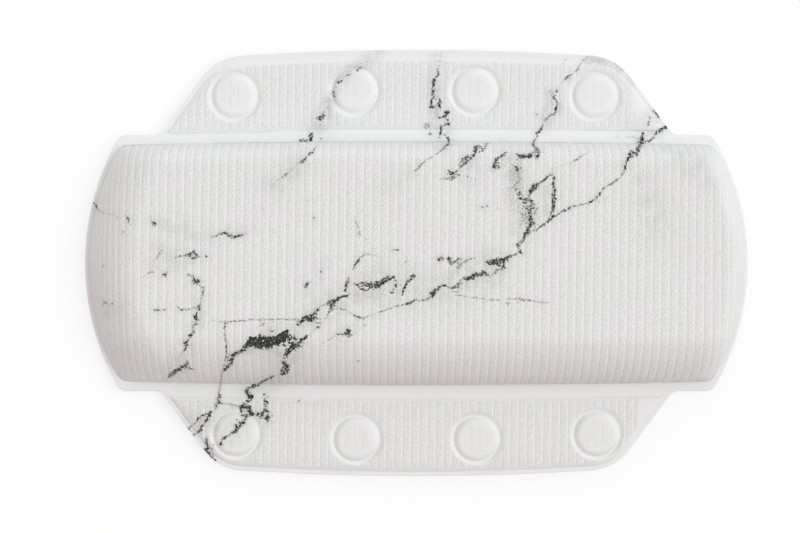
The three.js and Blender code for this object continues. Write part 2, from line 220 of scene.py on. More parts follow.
# Colours and grain of the materials
WHITE = (1, 1, 1, 1)
PRINT_WARM = (0.832, 0.824, 0.825)
PRINT_COOL = (0.824, 0.829, 0.824)
PRINT_BLOTCH = (0.5, 0.48, 0.48)
PRINT_CLOUD = (0.16, 0.17, 0.16)
PRINT_INK = (0.012, 0.012, 0.011)
# Dark colour of the painted shade in the knit's dents and grooves, also used for the foam's grain
KNIT_PAINTED_SHADE_AND_GRAIN = (0.25, 0.24, 0.24)
BACK_LIGHT = (0.83, 0.83, 0.82)
BACK_DARK = (0.8, 0.8, 0.79)
CUP_LIGHT = (0.9, 0.94, 0.95)
CUP_BLUE = (0.86, 0.91, 0.93)
FIBRE_DARK = (0.8, 0.76, 0.66)
FIBRE_LIGHT = (0.92, 0.9, 0.84)
STRAND_SCALE = (0.3, 1.6, 1)
STRAND_RELIEF = 0.8
BACK_GRAIN = 0.05
CUP_GRAIN = 0.05

# Floor and light
FLOOR_HALF = 4000
FLOOR_CORNERS = ((-1, -1), (1, -1), (1, 1), (-1, 1))
FLOOR_GAP = 0.05
FLOOR_COLOUR = (0.9, 0.9, 0.9, 1)
FLOOR_LIFT = 0.75
SKY_LEAN = (-0.03, 0.33, 0)
SKY_REACH = 0.3
SKY_STRENGTH = 0.66
SKY_WARM = (1, 0.76, 0.75)
SKY_COOL = (0.94, 1, 1)
LAMP_STRENGTH = 1.4
LAMP_COLOUR = (0.9, 1, 1)
LAMP_ANGLE = 40
LAMP_TURN = 2
LAMP_HEIGHT = 55

# Marble print: size of a pixel, width and darkness of its lines, the grey round them, and how
# far and how darkly the material breaks them up
PIXEL = 0.83
INK_SPREAD = 0.1
THIN_DARKNESS = 0.25
WIDTH_DARKNESS = 0.5
HALO_STRENGTH = 0.4
HALO_WIDTH = 1.2
HALO_REACH = 2.1
CLOUD_STRENGTH = 1.9
VEIN_WARP = 2.6
VEIN_FINE_WARP = 1.6
VEIN_REACH = 1.5
VEIN_DARKNESS = 0.84
DUST_DARKNESS = 0.7
BLOTCH_SHARE = 0.06

# Veins of the marble print, read off the photograph: x, y and width of each place in its
# pixels, and a share of full darkness where the vein is only grey
GREY = 0.45
FAINT = 0.3
STROKES = [
    # The main vein, from the right edge of the bolster down to the loop
    [(669, 126, 3), (662, 129, 2.5), (657, 133, 2), (652, 139, 1.2), (649, 141.5, 2)],
    [(643, 133.5, 1.5), (641, 139, 2), (643, 140, 3), (640, 145, 3), (638, 150, 3), (636, 154, 3),
     (631, 151, 2), (629.5, 156, 3.5), (627, 161, 1.5), (624.5, 165, 1.8), (625, 168, 2.8),
     (624, 172, 1.5), (620, 178, 1.2), (614, 182, 1), (607, 186, 0.9), (601, 191, 1.3), (598, 197, 1.5),
     (593, 200.5, 1.5), (590, 202.5, 1.5), (582, 204.5, 0.9), (577, 205.5, 0.8), (571, 207, 1.3),
     (566, 210, 1.5), (560, 212, 1.3), (558, 215, 1.2), (553, 217, 1.5), (549, 220, 2.2), (546, 223, 2),
     (541, 226, 1.6), (537, 230, 1), (532, 231, 0.9), (530, 229, 1.5)],
    [(549, 219, 1.5), (551, 214, 1.2), (554, 206, 3), (554, 200, 3.5), (553, 196, 3), (555, 190, 2),
     (553, 184, 1.8), (554, 178, 1.5), (552, 175, 1.2), (549, 175, 1.2), (545, 179, 1.8), (541, 182, 1.4),
     (537, 185, 2.4), (534, 187, 5), (531, 191, 3.4), (529.5, 195, 1.5), (529, 197, 1)],
    [(529, 211, 2.4), (530.5, 217, 3), (531, 221, 3.2), (533.5, 224, 2.5), (529, 226, 3.6), (528, 229, 3),
     (526, 234, 3), (524, 238, 1.5), (522, 242, 2), (519, 244, 2.5), (517, 246, 2.5), (519, 249, 1)],
    [(522, 253, 2), (519, 253, 2), (514, 255, 0.8), (509, 257, 3), (504, 260, 4), (497, 262, 5),
     (490, 262, 4), (486, 262, 1.5)],
    [(503, 264, 2), (504, 268, 2.5), (500, 269, 1.5), (497, 270, 2.5, GREY), (495, 274, 1),
     (490, 276, 0.8), (486, 274, 2), (484, 273, 3.5), (478, 274, 4), (472, 277, 5), (468, 278, 4),
     (463, 278, 1)],
    [(460, 283, 4, GREY), (458, 286, 3), (452, 288, 1.2), (448, 287, 1), (446, 285.5, 1.5),
     (441, 286, 1.5), (438, 288, 1.5), (435, 291, 4.5), (432, 295, 4), (429, 298, 1.2), (422, 301, 0.8),
     (416, 300, 1.2), (411, 302, 2.2), (406, 304, 2), (400, 305, 1), (392, 308, 0.8), (385, 310.5, 1.2),
     (380, 312, 0.8), (370, 316, 0.6), (363, 318, 0.8), (360, 317, 1.8), (356, 316, 1.2), (351, 314, 0.8),
     (348, 311, 0.7), (344, 309.5, 0.7), (340, 308.5, 0.7), (335, 309, 0.7), (330, 311, 1),
     (329, 312, 2)],
    # Its upper branch
    [(415, 274, 1), (412, 276, 2), (408, 281, 2.5), (405, 286, 2), (404, 291, 2.5), (403, 295, 1.5)],
    [(414, 277, 2), (412, 279, 1.5)],
    [(407, 258, 0.8, GREY), (405, 263, 0.8, GREY), (401, 270, 0.6, GREY)],
    [(397, 283, 1.5), (395, 287, 1.5)],
    [(393, 277, 3), (388, 279, 4), (384, 281, 4.5), (378, 285, 5), (372, 284, 3), (367, 284, 2.5),
     (361, 282.5, 1.2), (357, 284.5, 2), (354, 284, 1)],
    [(374, 287, 3), (369, 289, 2), (365, 290.5, 2), (361, 289, 1.5), (359, 287, 1.5)],
    [(349, 278, 1), (347, 283, 2), (346, 287, 2.5), (345, 289, 1.5)],
    [(349, 294, 2), (347, 296, 1.5), (344, 296, 2), (341, 297.5, 2), (337, 300, 3), (334, 301, 2.5),
     (330, 302, 3), (333, 304, 3.5), (331, 308, 2), (329, 312, 2)],
    [(330, 302, 1.2), (326, 304, 1), (321, 306, 0.8), (318, 309, 2), (315, 312.5, 1.2), (312, 315, 1.5),
     (309, 317, 3)],
    [(317, 319, 2), (312, 318, 5.5), (306, 318.5, 5), (302, 320, 3), (299, 324, 3)],
    [(327, 316.5, 1), (323, 319, 1), (318, 320, 1)],
    [(318, 327, 2), (314, 330, 0.8, GREY), (311, 333, 0.6, GREY)],
    [(298, 319, 1), (290, 320, 0.8), (285, 319, 1), (278, 319.5, 0.7), (262, 319.5, 0.7),
     (250, 319.5, 0.8), (242, 321, 0.9), (224, 322, 0.6), (210, 320, 0.5)],
    # The dark patch and what hangs from it
    [(247, 345, 4), (252, 342, 9), (260, 342, 12), (268, 342.5, 11), (275, 341, 9), (281, 339, 8),
     (284, 335, 7), (286, 332, 5)],
    [(290, 339, 4), (294, 337, 3)],
    [(300, 341, 3), (304, 339, 2.5), (307, 336.5, 2)],
    [(297, 345, 3), (293, 347, 6), (288, 351, 5), (286, 354, 5)],
    [(299, 347, 2), (303, 346, 1.2)],
    [(285, 359, 1, GREY), (284, 362, 3), (286, 366, 5), (287, 370, 4), (285, 374, 3), (282, 375, 2),
     (281, 371, 1.5), (283, 367, 1.5)],
    [(273, 376, 2), (270, 378, 3), (266, 380, 2.2), (262, 382, 3), (257, 385, 2.5), (252, 387, 3),
     (249, 388, 2.2), (246, 390.5, 3), (248, 394, 3.5), (251, 396, 4), (250, 400, 4), (247, 401, 2)],
    [(247, 346, 4), (243, 349, 4), (240, 352, 2.5), (235, 354, 3.5), (232, 358, 3.5), (231, 361, 3),
     (230, 365, 3), (226, 368, 2.5), (224, 371, 2)],
    # Lower flap
    [(245, 404, 3), (247, 407, 4), (249, 408, 3.5), (250, 411, 3.5), (252, 414, 4), (248, 414, 2),
     (246, 417, 2), (245, 420, 2.5), (242, 424, 3.5), (239, 426, 2), (237, 429, 2.5), (235, 432, 3.5),
     (231, 434, 1.5), (227, 437, 1.2), (223, 438.5, 2), (221, 441, 1.5), (221, 444, 2.5)],
    [(244, 403, 2), (241, 407, 2), (241, 411, 2), (243, 414, 3)],
    [(238, 406, 2, GREY), (232, 405, 2, GREY), (224, 404, 1, GREY), (220, 403, 1.5), (219, 401.5, 3),
     (217, 399, 1), (219, 396, 3), (218.5, 394, 2)],
    [(215, 404, 1.5, GREY), (216, 407, 2.5)],
    [(211, 412, 2), (209, 415, 4.5), (206, 415, 3), (202, 416, 2), (198, 419, 1.5), (195, 423, 1),
     (191, 427, 1), (188, 429, 3)],
    [(209, 417, 2), (204, 423, 2), (201, 427, 2), (200, 431, 2.5), (196, 434, 1), (192, 436, 1.2)],
    [(208, 437, 1.5, GREY), (206, 442, 3), (207, 445, 2), (208, 448, 3.5), (206, 450, 3), (209, 453, 2),
     (211, 457, 1.5), (215, 460.5, 1.5)],
    [(264, 395, 1.5), (268, 397, 1)],
    [(265, 400.5, 2), (266, 403, 4)],
    [(258, 414, 3), (261, 417, 3), (263, 412, 2), (266, 410, 3.5), (269, 412, 2)],
    [(267, 418, 4), (268, 421, 2)],
    # Thin lines and dots of the bolster's left half
    [(225, 322, 2), (225, 325, 1.5), (224, 331, 0.7), (226, 342, 1.2), (227, 353, 1.2), (222, 373, 0.8),
     (220, 385, 2, GREY), (219, 392, 2, GREY)],
    [(398, 250, 1), (392, 250, 1.2)],
    [(377, 255, 1, GREY), (366, 254, 1, GREY), (360, 257, 1), (358.5, 260, 2), (355, 265, 1.8),
     (353, 270, 1, GREY)],
    [(309, 282, 2), (307, 287, 1), (305, 286, 2.3)],
    [(313.5, 217, 1.2), (316, 219, 1.2, GREY)],
    [(356, 222, 1, GREY), (360, 231, 1.5, GREY), (359.5, 234, 1.2)],
    [(337, 334, 1.2), (344, 335, 2), (348, 331, 4), (350, 335, 3)],
    [(337, 334, 1.2, GREY), (330, 339, 1.2, GREY), (322, 343, 0.8, GREY)],
    [(449, 260, 3.5), (451, 264, 1.2), (457, 260, 1.5), (460, 258, 1)],
    [(458, 267, 3, GREY), (462, 263, 2.5, GREY), (470, 259, 1.2), (475, 258, 0.6)],
    [(455, 295, 0.7), (470, 297, 0.7), (490, 300, 0.6), (515, 299, 0.7), (520, 299, 1.2), (524, 300, 1.2),
     (540, 302, 0.6), (550, 303, 0.5)],
    # The short streak and its loops
    [(487, 143, 4, GREY), (485, 148, 1), (482, 151, 1.5)],
    [(481, 148, 1.5), (479, 145.5, 2), (476, 146, 3), (475, 149, 4), (475, 154, 2), (472, 157, 1.5),
     (469, 160, 1.2), (466, 162.5, 2), (462, 166, 1.2), (458, 170, 1), (455, 174, 1.5), (451, 173, 3),
     (449, 171, 1.5)],
    [(468, 155, 1.5), (465, 158, 2.5), (461, 162, 1), (459, 165, 1.2)],
    [(460, 175, 0.8), (456, 177, 0.9), (451, 180, 1), (446, 178.5, 1), (440, 179, 0.6)],
    [(507, 152, 1), (502, 156, 2.5), (499, 158, 1.5), (496, 160, 3), (495, 163, 2), (494, 167, 2.5)],
    [(536, 133, 1.2), (537, 137, 1), (534, 141, 1.2), (533, 145, 2), (536, 148, 2.5), (539, 151, 2.5),
     (538, 155, 2.5), (537, 158, 1.5)],
    [(517, 154, 2), (520, 157, 3), (525, 156, 4), (530, 156, 4), (533, 152, 2)],
    [(514.5, 166, 2.4), (518, 169, 2.4), (519, 173, 1.6, GREY), (518, 177, 1.4, GREY),
     (520.5, 180, 1.6, GREY), (516, 183, 2, GREY), (514, 187.5, 2.4, GREY), (516, 190.5, 2.4),
     (515.5, 193, 1.4, GREY)],
    [(513, 187, 1, GREY), (509, 188, 1, GREY), (505, 186, 0.7, FAINT)],
    [(520, 192, 2.2), (518.5, 196, 1.4), (520.5, 199, 3), (525, 199.5, 2.8), (528.5, 198, 2)],
    [(530, 200, 1.6), (533, 203, 2), (531, 205, 2), (533, 207.5, 1.8)],
    [(521.5, 213, 2.4, GREY), (523, 220, 2.2, GREY), (520, 226, 2, FAINT)],
    [(537, 209, 2.4, GREY), (535, 212.5, 2, GREY)],
    # Upper flap, right
    [(588, 57, 0.9, GREY), (584, 60, 0.9), (580, 64, 1, GREY), (578, 69.5, 1.3), (574, 73, 0.7, GREY),
     (568, 77, 1.8), (562, 82, 0.6, GREY), (557.5, 88, 0.7, GREY), (557, 90, 1.2), (556, 94, 1.2),
     (554, 97, 1.5), (556, 100.5, 1.2), (558, 104, 1.2), (556, 107, 2), (556, 111, 2), (554, 114, 1.8),
     (550, 115, 1), (546, 120, 2, GREY), (542, 126, 1.5, GREY), (541, 129, 2.5), (537, 134, 1.5)],
    [(566, 60, 0.8, GREY), (563, 64, 0.8, GREY)],
    [(655, 111, 2.5), (659, 116, 2.5)],
    [(650, 118, 1.2), (648, 125, 1.5)],
    [(640, 137, 1, GREY), (627, 137, 1, GREY)],
    [(592, 150, 0.5, GREY), (587, 153, 0.7), (582, 155, 0.9), (578, 159, 1.1), (574, 161, 0.9),
     (571, 163, 0.6, GREY), (562, 165, 0.5, GREY), (553, 167, 0.5, GREY)],
    # Upper flap, middle
    [(441, 52, 1.2, FAINT), (440, 60, 1.2, FAINT), (438, 68, 1.2, GREY), (437.5, 72, 1.5), (438, 75, 1.5),
     (435, 79, 1.5), (433, 82, 3), (434, 85, 1.5), (433, 89, 3), (434, 92, 1.5), (432, 94, 2),
     (434.5, 96, 2), (432, 99, 1.5), (431, 104, 2.5), (431, 107, 2.5), (435, 107, 1.5)],
    [(439, 98, 1.2), (440, 102, 3), (438, 105, 2.5), (440, 107, 1.5)],
    [(447, 112, 3.5), (445, 116, 2), (444, 117.5, 2.5), (440, 118, 1.5), (437, 116, 1.2)],
    [(445, 118, 1.2), (447, 120, 1.5), (449, 123, 1.5), (446, 124, 2), (449, 125.5, 1.5)],
    [(444, 126, 1.2), (440, 126, 1.2), (441, 130, 2.2), (440.5, 134, 1.5), (439, 137, 1)],
    [(444, 135, 1.5, GREY), (448, 138, 1.5), (450, 142, 1.5), (447, 145, 2.2), (444, 148, 3, GREY),
     (440, 151, 1.2), (436, 155, 0.8), (430, 158, 0.8), (425, 161, 0.8), (421, 165, 1), (418, 168, 1.2),
     (416, 171, 1.2)],
    # Upper flap, left
    [(363, 65, 0.8, FAINT), (357, 70.5, 1.8)],
    [(352, 73, 0.8, FAINT), (347, 75.5, 1.7), (345, 77, 0.8, GREY)],
    [(341, 81.4, 2), (338, 82.4, 1.6)],
    [(330, 104, 1, FAINT), (324, 112, 1, GREY), (322.5, 116, 3.2), (320, 118.5, 4), (316.5, 118.5, 1.5)],
    [(323.5, 123, 0.8, FAINT), (324.4, 127, 0.8, FAINT)],
    [(317, 145, 0.8, GREY), (314, 150, 1.2), (312, 152, 2.3), (309, 154, 1.8)],
    [(306, 157, 1.2), (304.5, 160, 2.4), (302, 161.8, 2.5), (299.5, 162, 0.8)],
    [(296, 166, 0.8, GREY), (288, 172.5, 0.8, GREY), (285, 175.6, 1.7)],
    [(282, 177, 0.8, GREY), (277, 181, 0.7, GREY), (273, 185, 0.8, GREY), (271.5, 188, 1.2, GREY)],
    [(311, 134, 3), (311, 138, 4), (310.5, 140.4, 3)],
    [(305, 140.6, 2.5), (303, 139.6, 1.5), (301, 141, 2), (299, 140, 1.5)],
    # The bolster's left end
    [(94.5, 204, 1.5), (97, 208, 2.2), (100, 211, 1, GREY), (107, 214, 1, GREY), (113, 214, 0.8, GREY),
     (118, 219, 0.6, GREY)],
    [(125, 214, 0.8, GREY), (128, 219, 1.4), (129, 222, 1.2), (131, 225, 0.8, GREY)],
    [(125, 231, 1, GREY), (123, 232, 1.2)],
    [(151, 221, 0.8, GREY), (153, 223, 2.6), (155, 224, 2.4)],
    [(212, 237, 1), (220, 234, 1.5), (224, 232.5, 1.5), (231, 236, 2.5), (234, 237, 2.5), (240, 236, 2),
     (246, 233.5, 1.5, GREY)],
    [(162, 250, 1.2, GREY), (159, 253, 2.4, GREY), (157, 258, 1.2, GREY), (153, 262, 0.6, GREY)],
    [(141, 278, 0.9, GREY), (146, 275, 0.8, GREY), (151, 272, 1.1), (154, 272, 0.7)],
    [(163, 275, 2), (166, 273, 2), (166, 277, 1)],
    [(176, 257, 1.5, GREY), (184, 256, 1.2), (189, 255, 3), (191, 253, 2), (195, 251, 1.5)],
    [(193, 259, 2), (197, 257, 2), (199, 257, 1)],
    [(188, 275, 2, GREY), (193, 276, 1.2), (194, 279, 2), (193, 282, 2), (197, 281.5, 4)],
    [(203, 288, 3, GREY), (203, 294, 1.2), (201, 302, 1, GREY), (199, 308, 3), (198, 312, 1.5),
     (194, 317, 2), (197, 320, 3), (199, 321, 1.2)],
    [(193, 326, 3, GREY), (195, 330, 1, GREY), (192, 334, 3), (190, 336, 2), (188, 341, 1.5),
     (186, 343, 3), (186, 349, 1.8), (183, 352, 1.2), (180, 356, 1, GREY)],
    [(187, 360, 1, GREY), (187, 365, 3), (184, 366, 3), (180, 369, 3.5), (176, 371, 4), (173, 373, 4),
     (170, 376, 3), (168, 378, 1)],
    [(187, 367, 2), (191, 369, 1.5), (193, 369, 1)],
    [(153, 310, 1), (156, 310.5, 1.8), (162, 310, 1), (167, 309, 0.8)],
    [(178, 307, 1), (182, 310, 1.2), (187, 310, 1), (191, 309, 1)],
    [(105, 302, 4, GREY), (102, 306, 2, GREY)],
    [(106, 312, 1, GREY), (107, 317, 1, GREY)],
]

# Single specks, in the same way
DOTS = [
    (392, 292, 2.5), (385, 295, 1.2, GREY), (263, 324, 2.5, GREY), (258, 327, 1, GREY),
    (272, 328, 1.4, GREY), (260, 334, 1.5, GREY), (237, 420, 1.2), (236, 425, 3), (212, 449, 1.5),
    (213, 445, 2, GREY), (213, 454.5, 1.5), (272, 415, 2, GREY), (299, 401, 1.2), (321, 271.5, 1.3),
    (308, 200.5, 1), (263, 209, 1.2, GREY), (363, 210, 0.8, GREY), (366, 239, 1.2, GREY),
    (364, 325, 1.5, GREY), (358, 361, 1), (440, 258.5, 3.5), (508, 305, 1.2), (482, 208, 1.5),
    (487, 206, 1.2), (499, 209, 0.7), (467, 176, 1.2), (475, 179, 1), (498, 167, 2.5),
    (521.5, 167, 2, GREY), (524.5, 206.5, 2), (550, 92, 2, GREY), (536.5, 115, 1.3), (617, 137, 0.8),
    (552, 169, 1), (569, 151, 0.8), (427, 126, 5, GREY), (430, 134, 2), (432, 122, 0.8, GREY),
    (333.6, 91.6, 2.2), (334.6, 97, 2), (320.6, 139.6, 1.8), (206, 256, 1.5), (112, 304, 1.5),
    (103, 266, 1.5),
]

# Soft grey clouds round the veins: x, y, width and strength
VEILS = [
    [(508, 156, 16, 0.14), (516, 172, 12, 0.2), (517, 190, 12, 0.2), (525, 208, 14, 0.2),
     (524, 228, 12, 0.18)],
    [(322, 268, 10, 0.06), (312, 285, 16, 0.07), (303, 302, 14, 0.05)],
    [(152, 222, 7, 0.1), (178, 226, 11, 0.07), (192, 233, 11, 0.09), (222, 236, 10, 0.07),
     (256, 228, 8, 0.04)],
    [(412, 173, 8, 0.06), (398, 181, 10, 0.06), (384, 188, 12, 0.05)],
    [(589, 58, 8, 0.17), (606, 61, 10, 0.18), (620, 68, 10, 0.18), (632, 79, 7, 0.15)],
    [(640, 124, 10, 0.12), (650, 120, 10, 0.17), (658, 130, 8, 0.14), (640, 138, 10, 0.14)],
    [(552, 92, 7, 0.16), (555, 106, 9, 0.2), (546, 120, 9, 0.16)],
    [(642, 185, 16, 0.07), (655, 205, 20, 0.08), (660, 232, 18, 0.06)],
    [(672, 152, 16, 0.06), (692, 160, 20, 0.09), (708, 178, 14, 0.06)],
    [(438, 56, 8, 0.1), (434, 100, 9, 0.2), (440, 122, 12, 0.14), (446, 148, 12, 0.12)],
    [(377, 53, 8, 0.14), (362, 64, 6, 0.2), (348, 74, 6, 0.2), (338, 83, 6, 0.22), (334, 93, 6, 0.22)],
    [(331, 102, 8, 0.18), (321, 118, 12, 0.17), (318, 142, 12, 0.11)],
    [(303, 158, 14, 0.1), (275, 184, 14, 0.1)],
    [(252, 344, 12, 0.2), (286, 342, 22, 0.2), (284, 370, 14, 0.14), (252, 392, 14, 0.12)],
    [(490, 268, 20, 0.14), (436, 291, 20, 0.1), (380, 284, 20, 0.14), (336, 301, 16, 0.14),
     (308, 320, 14, 0.14)],
    [(550, 185, 14, 0.1), (548, 212, 14, 0.1)],
    [(470, 172, 14, 0.12), (470, 158, 12, 0.14)],
    [(190, 428, 14, 0.1), (206, 418, 12, 0.14), (232, 434, 14, 0.08), (248, 412, 14, 0.12)],
    [(199, 300, 10, 0.1), (196, 322, 9, 0.1), (188, 350, 9, 0.08), (176, 370, 12, 0.14)],
    [(156, 256, 14, 0.1), (190, 256, 16, 0.1)],
    [(348, 332, 10, 0.14), (330, 340, 10, 0.06)],
    [(634, 152, 12, 0.1), (622, 172, 9, 0.06)],
    [(120, 308, 14, 0.06), (105, 302, 10, 0.1)],
]


def smooth(t):
    """0 up to 0, 1 from 1 on, and a soft passage between them."""
    t = np.clip(t, 0, 1)
    return t * t * (3 - 2 * t)


def rise(distance, width, power):
    """0 at an edge, 1 at a distance of width from it, along a superellipse."""
    left = 1 - np.clip(distance, 0, width) / width
    return (1 - left**power) ** (1 / power)


# Plan of the bolster


def weld_line(x):
    """y of the slightly bowed line where the bolster meets its upper weld strip."""
    return WELD_REACH - x**2 / (2 * WELD_LINE_RADIUS)


def strip_line(x):
    """y of the welded strip's straight outer edge."""
    return np.full_like(np.asarray(x, float), STRIP_EDGE)


class Loop:
    """A closed line round the bolster: two long edges, two bowed ends and rounded corners."""

    def __init__(self, edge, end_radius, corner):
        self.edge, self.end_radius, self.corner = edge, end_radius, corner
        x = BOW_CENTRE
        for _ in range(8):
            y = float(edge(x)) - corner
            x = BOW_CENTRE + math.sqrt((end_radius - corner) ** 2 - y * y)
        self.cx, self.cy = x, float(edge(x)) - corner
        self.start = math.atan2(self.cy, self.cx - BOW_CENTRE)
        self.corner_x = BOW_CENTRE + end_radius * math.cos(self.start)
        self.pole = BOW_CENTRE + end_radius

    def y(self, x):
        """Half the loop's width at x."""
        across = np.abs(x)
        bend = self.cy + np.sqrt(np.clip(self.corner**2 - (across - self.cx) ** 2, 0, None))
        bow = np.sqrt(np.clip(self.end_radius**2 - (across - BOW_CENTRE) ** 2, 0, None))
        return np.where(across <= self.cx, self.edge(x), np.where(across <= self.corner_x, bend, bow))

    def insets(self, x, y):
        """Distances in from the long edge and from the bowed end."""
        across, up = np.abs(x), np.abs(y)
        edge = self.edge(x) - up
        end = self.end_radius - np.hypot(across - BOW_CENTRE, up)
        closer = np.minimum(edge, end)
        angle = np.arctan2(up - self.cy, across - self.cx)
        inside = (up > self.cy) & (angle >= self.start) & (angle <= math.pi / 2) & (closer > 0)
        depth = self.corner - np.hypot(across - self.cx, up - self.cy)
        share = np.where(inside, depth / np.where(inside, closer, 1), 1)
        return edge * share, end * share


WELD = Loop(weld_line, END_RADIUS - SIDE_RIM, WELD_CORNER)
RIM = Loop(strip_line, END_RADIUS, EAR_RADIUS)


def sag(x, y):
    """Low swells of the soft filling."""
    along = np.sin(x / 41 + 0.6 * np.sin(y / 57) + 0.4) * np.cos(y / 49 - 0.7)
    across = np.sin(x / 23 - y / 31 + 1.9) * np.sin(y / 37 + 0.5)
    return SAG * along + CROSS_SAG * across


def crown(x, y):
    """Height of the bolster's front over its weld line."""
    edge, end = WELD.insets(x, y)
    upper, lower = rise(edge - UPPER_FLAT, *UPPER_SHOULDER), rise(edge, *LOWER_SHOULDER)
    ends = np.where(x > 0, rise(end, *RIGHT_SHOULDER), rise(end, *LEFT_SHOULDER))
    fall = CROWN_FALL * ((x / END_X) ** 2 + (y / WELD_REACH) ** 2) / 2
    return (CROWN - fall + sag(x, y)) * np.where(y > 0, upper, lower) * ends


def bulge(x, y):
    """How far the back sheet of the bolster bulges down."""
    edge, end = WELD.insets(x, y)
    share = [1 - (1 - np.clip(d, 0, BACK_SHOULDER) / BACK_SHOULDER) ** 2 for d in (edge, end)]
    return LIP_PLANE * share[0] * share[1]


# Plan of a flap, with the fold line on v = 0 and the tip towards +v
SLOPE = (BASE_HALF - TIP_HALF) / FLAP_REACH
LEAN = math.hypot(1, SLOPE)
NOTCH_X = BASE_HALF + NOTCH_RADIUS * math.tan((math.pi / 2 - math.atan(SLOPE)) / 2)
NOTCH_START = NOTCH_X - NOTCH_RADIUS / LEAN
FLAP_END = NOTCH_X - NOTCH_GAP


class Rounded:
    """The slanted sides and bowed tip of a flap, moved in by a rim, with rounded corners."""

    def __init__(self, rim, tip_rim, corner):
        self.rim, self.tip_rim, self.corner = rim, tip_rim, corner
        u, v = TIP_HALF - corner, FLAP_REACH - corner
        for _ in range(60):
            v = FLAP_REACH - tip_rim - u * u / (2 * TIP_RADIUS) - corner
            u = BASE_HALF - SLOPE * v - (rim + corner) * LEAN
        self.u, self.v = u, v
        self.low, self.high = math.atan2(SLOPE, 1), math.pi / 2 - u / TIP_RADIUS

    def depth(self, x, v):
        """Distance inside the outline, less than 0 outside."""
        across = np.abs(x)
        side = (BASE_HALF - SLOPE * v - across) / LEAN - self.rim
        tip = FLAP_REACH - self.tip_rim - across**2 / (2 * TIP_RADIUS) - v
        angle = np.arctan2(v - self.v, across - self.u)
        inside = (angle > self.low) & (angle < self.high) & (v > self.v)
        bend = self.corner - np.hypot(across - self.u, v - self.v)
        return np.where(inside, bend, np.minimum(side, tip))


OUTLINE = Rounded(0, 0, FLAP_CORNER)


def flap_top(x):
    """v of a flap's outline at x."""
    across = np.abs(x)
    low, high = np.zeros_like(across), np.full_like(across, FLAP_REACH + 1)
    for _ in range(40):
        middle = (low + high) / 2
        inside = OUTLINE.depth(across, middle) > 0
        low, high = np.where(inside, middle, low), np.where(inside, high, middle)
    notch = NOTCH_RADIUS - np.sqrt(np.clip(NOTCH_RADIUS**2 - (NOTCH_X - across) ** 2, 0, None))
    return np.where(across > NOTCH_START, notch, low)


def cup_centres(name):
    """x and y of the four cups of a flap, from the boxes of the CAD solids."""
    found = []
    for i in range(1, 5):
        low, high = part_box(f"{name}_suction_cup_{i}")
        found.append(((low.x + high.x) / 2 / MM, (low.y + high.y) / 2 / MM))
    return found


CUPS = {name: cup_centres(name) for name in FLAPS}


def ring_centres(name):
    """x and y of the four ring welds of a flap, a little off the cups under them."""
    shift = FLAPS[name]["ring_shift"]
    return [(cx + shift[0], cy + shift[1]) for cx, cy in CUPS[name]]


RINGS = {name: ring_centres(name) for name in FLAPS}


def nearest(centres, x, y):
    """Distance from the nearest of some centres."""
    return np.min([np.hypot(x - cx, y - cy) for cx, cy in centres], axis=0)


def ring_level(name, x, y):
    """Height of the ring weld, which is pressed deeper at its upper left and lower right."""
    r = np.maximum(nearest(RINGS[name], x, y), BUTTON_FLAT)
    uneven = np.zeros_like(r)
    for cx, cy in RINGS[name]:
        across, along = x - cx, y - cy
        own = np.hypot(across, along) < RING_OUTER + RING_PILLOW[0]
        uneven = np.where(own, -2 * across * along / r**2, uneven)
    return RING_LEVEL - RING_UNEVEN * uneven


def pad_depth(name, x, v):
    """Distance inside the raised pad of a flap."""
    spec = FLAPS[name]
    pad = Rounded(PAD_SIDE_RIM, spec["tip_rim"], PAD_CORNER)
    left, right = spec["pad_base"]
    line = left + (right - left) * smooth((x - PAD_BASE_BEND) / PAD_BASE_RUN)
    base = v - line + x**2 / (2 * WELD_LINE_RADIUS)
    return np.minimum(pad.depth(x, v), base)


def flap_height(name, x, y):
    """Height of a flap's front over its welded rim, without the ribs."""
    v = np.abs(y) - FOLD
    depth = pad_depth(name, x, v)
    step, pillow = rise(depth, *PAD_STEP), rise(depth, *PAD_PILLOW)
    pad = PAD_RISE * (STEP_SHARE * step + (1 - STEP_SHARE) * pillow)
    r = nearest(RINGS[name], x, y)
    ring = ring_level(name, x, y)
    flare, slope = smooth((r - RING_OUTER) / RING_FLARE), rise(r - RING_OUTER, *RING_PILLOW)
    open_share = RING_STEP_SHARE * flare + (1 - RING_STEP_SHARE) * slope
    pad = np.minimum(pad, ring * step + (PAD_RISE - ring) * open_share)
    share = np.clip((r - BUTTON_FLAT) / (RING_INNER - BUTTON_FLAT), 0, 1)
    button = ring + (BUTTON_RISE - ring) * (1 - share**2) ** BUTTON_POWER
    return np.where(r < RING_INNER, button, pad)


def surface(x, y):
    """Height of the front anywhere in plan."""
    edge, end = WELD.insets(x, y)
    on_bolster = np.minimum(edge, end) > 0
    flaps = np.where(y > 0, flap_height("upper", x, y), flap_height("lower", x, y))
    flaps = np.where(np.abs(y) > STRIP_EDGE, flaps, 0)
    return SEAM_TOP + np.where(on_bolster, crown(x, y), flaps)


def plan_of(pixels):
    """The place in plan that the camera sees at each pixel of the photograph."""
    px, py = pixels[:, 0], pixels[:, 1]
    z = np.full(len(pixels), SEAM_TOP + CROWN / 2)
    for _ in range(30):
        scale = (CAMERA[2] - z) / FOCAL_PIXELS
        x = CAMERA[0] + (px - IMAGE_WIDTH / 2) * scale
        y = CAMERA[1] + (IMAGE_HEIGHT / 2 - py) * scale
        z = (z + surface(x, y)) / 2
    return x, y


# Embossed ribs


def channel(a):
    """0 on the body of a rib and 1 in the channel between two ribs, at a distance along the sheet."""
    phase = a / PITCH - np.floor(a / PITCH)
    off = np.minimum(phase, 1 - phase)
    body = smooth((off - CHANNEL_SHARE / 2) / FLANK_SHARE)
    return 1 - body * (1 - BODY_BOW + BODY_BOW * np.sin(np.pi * phase))


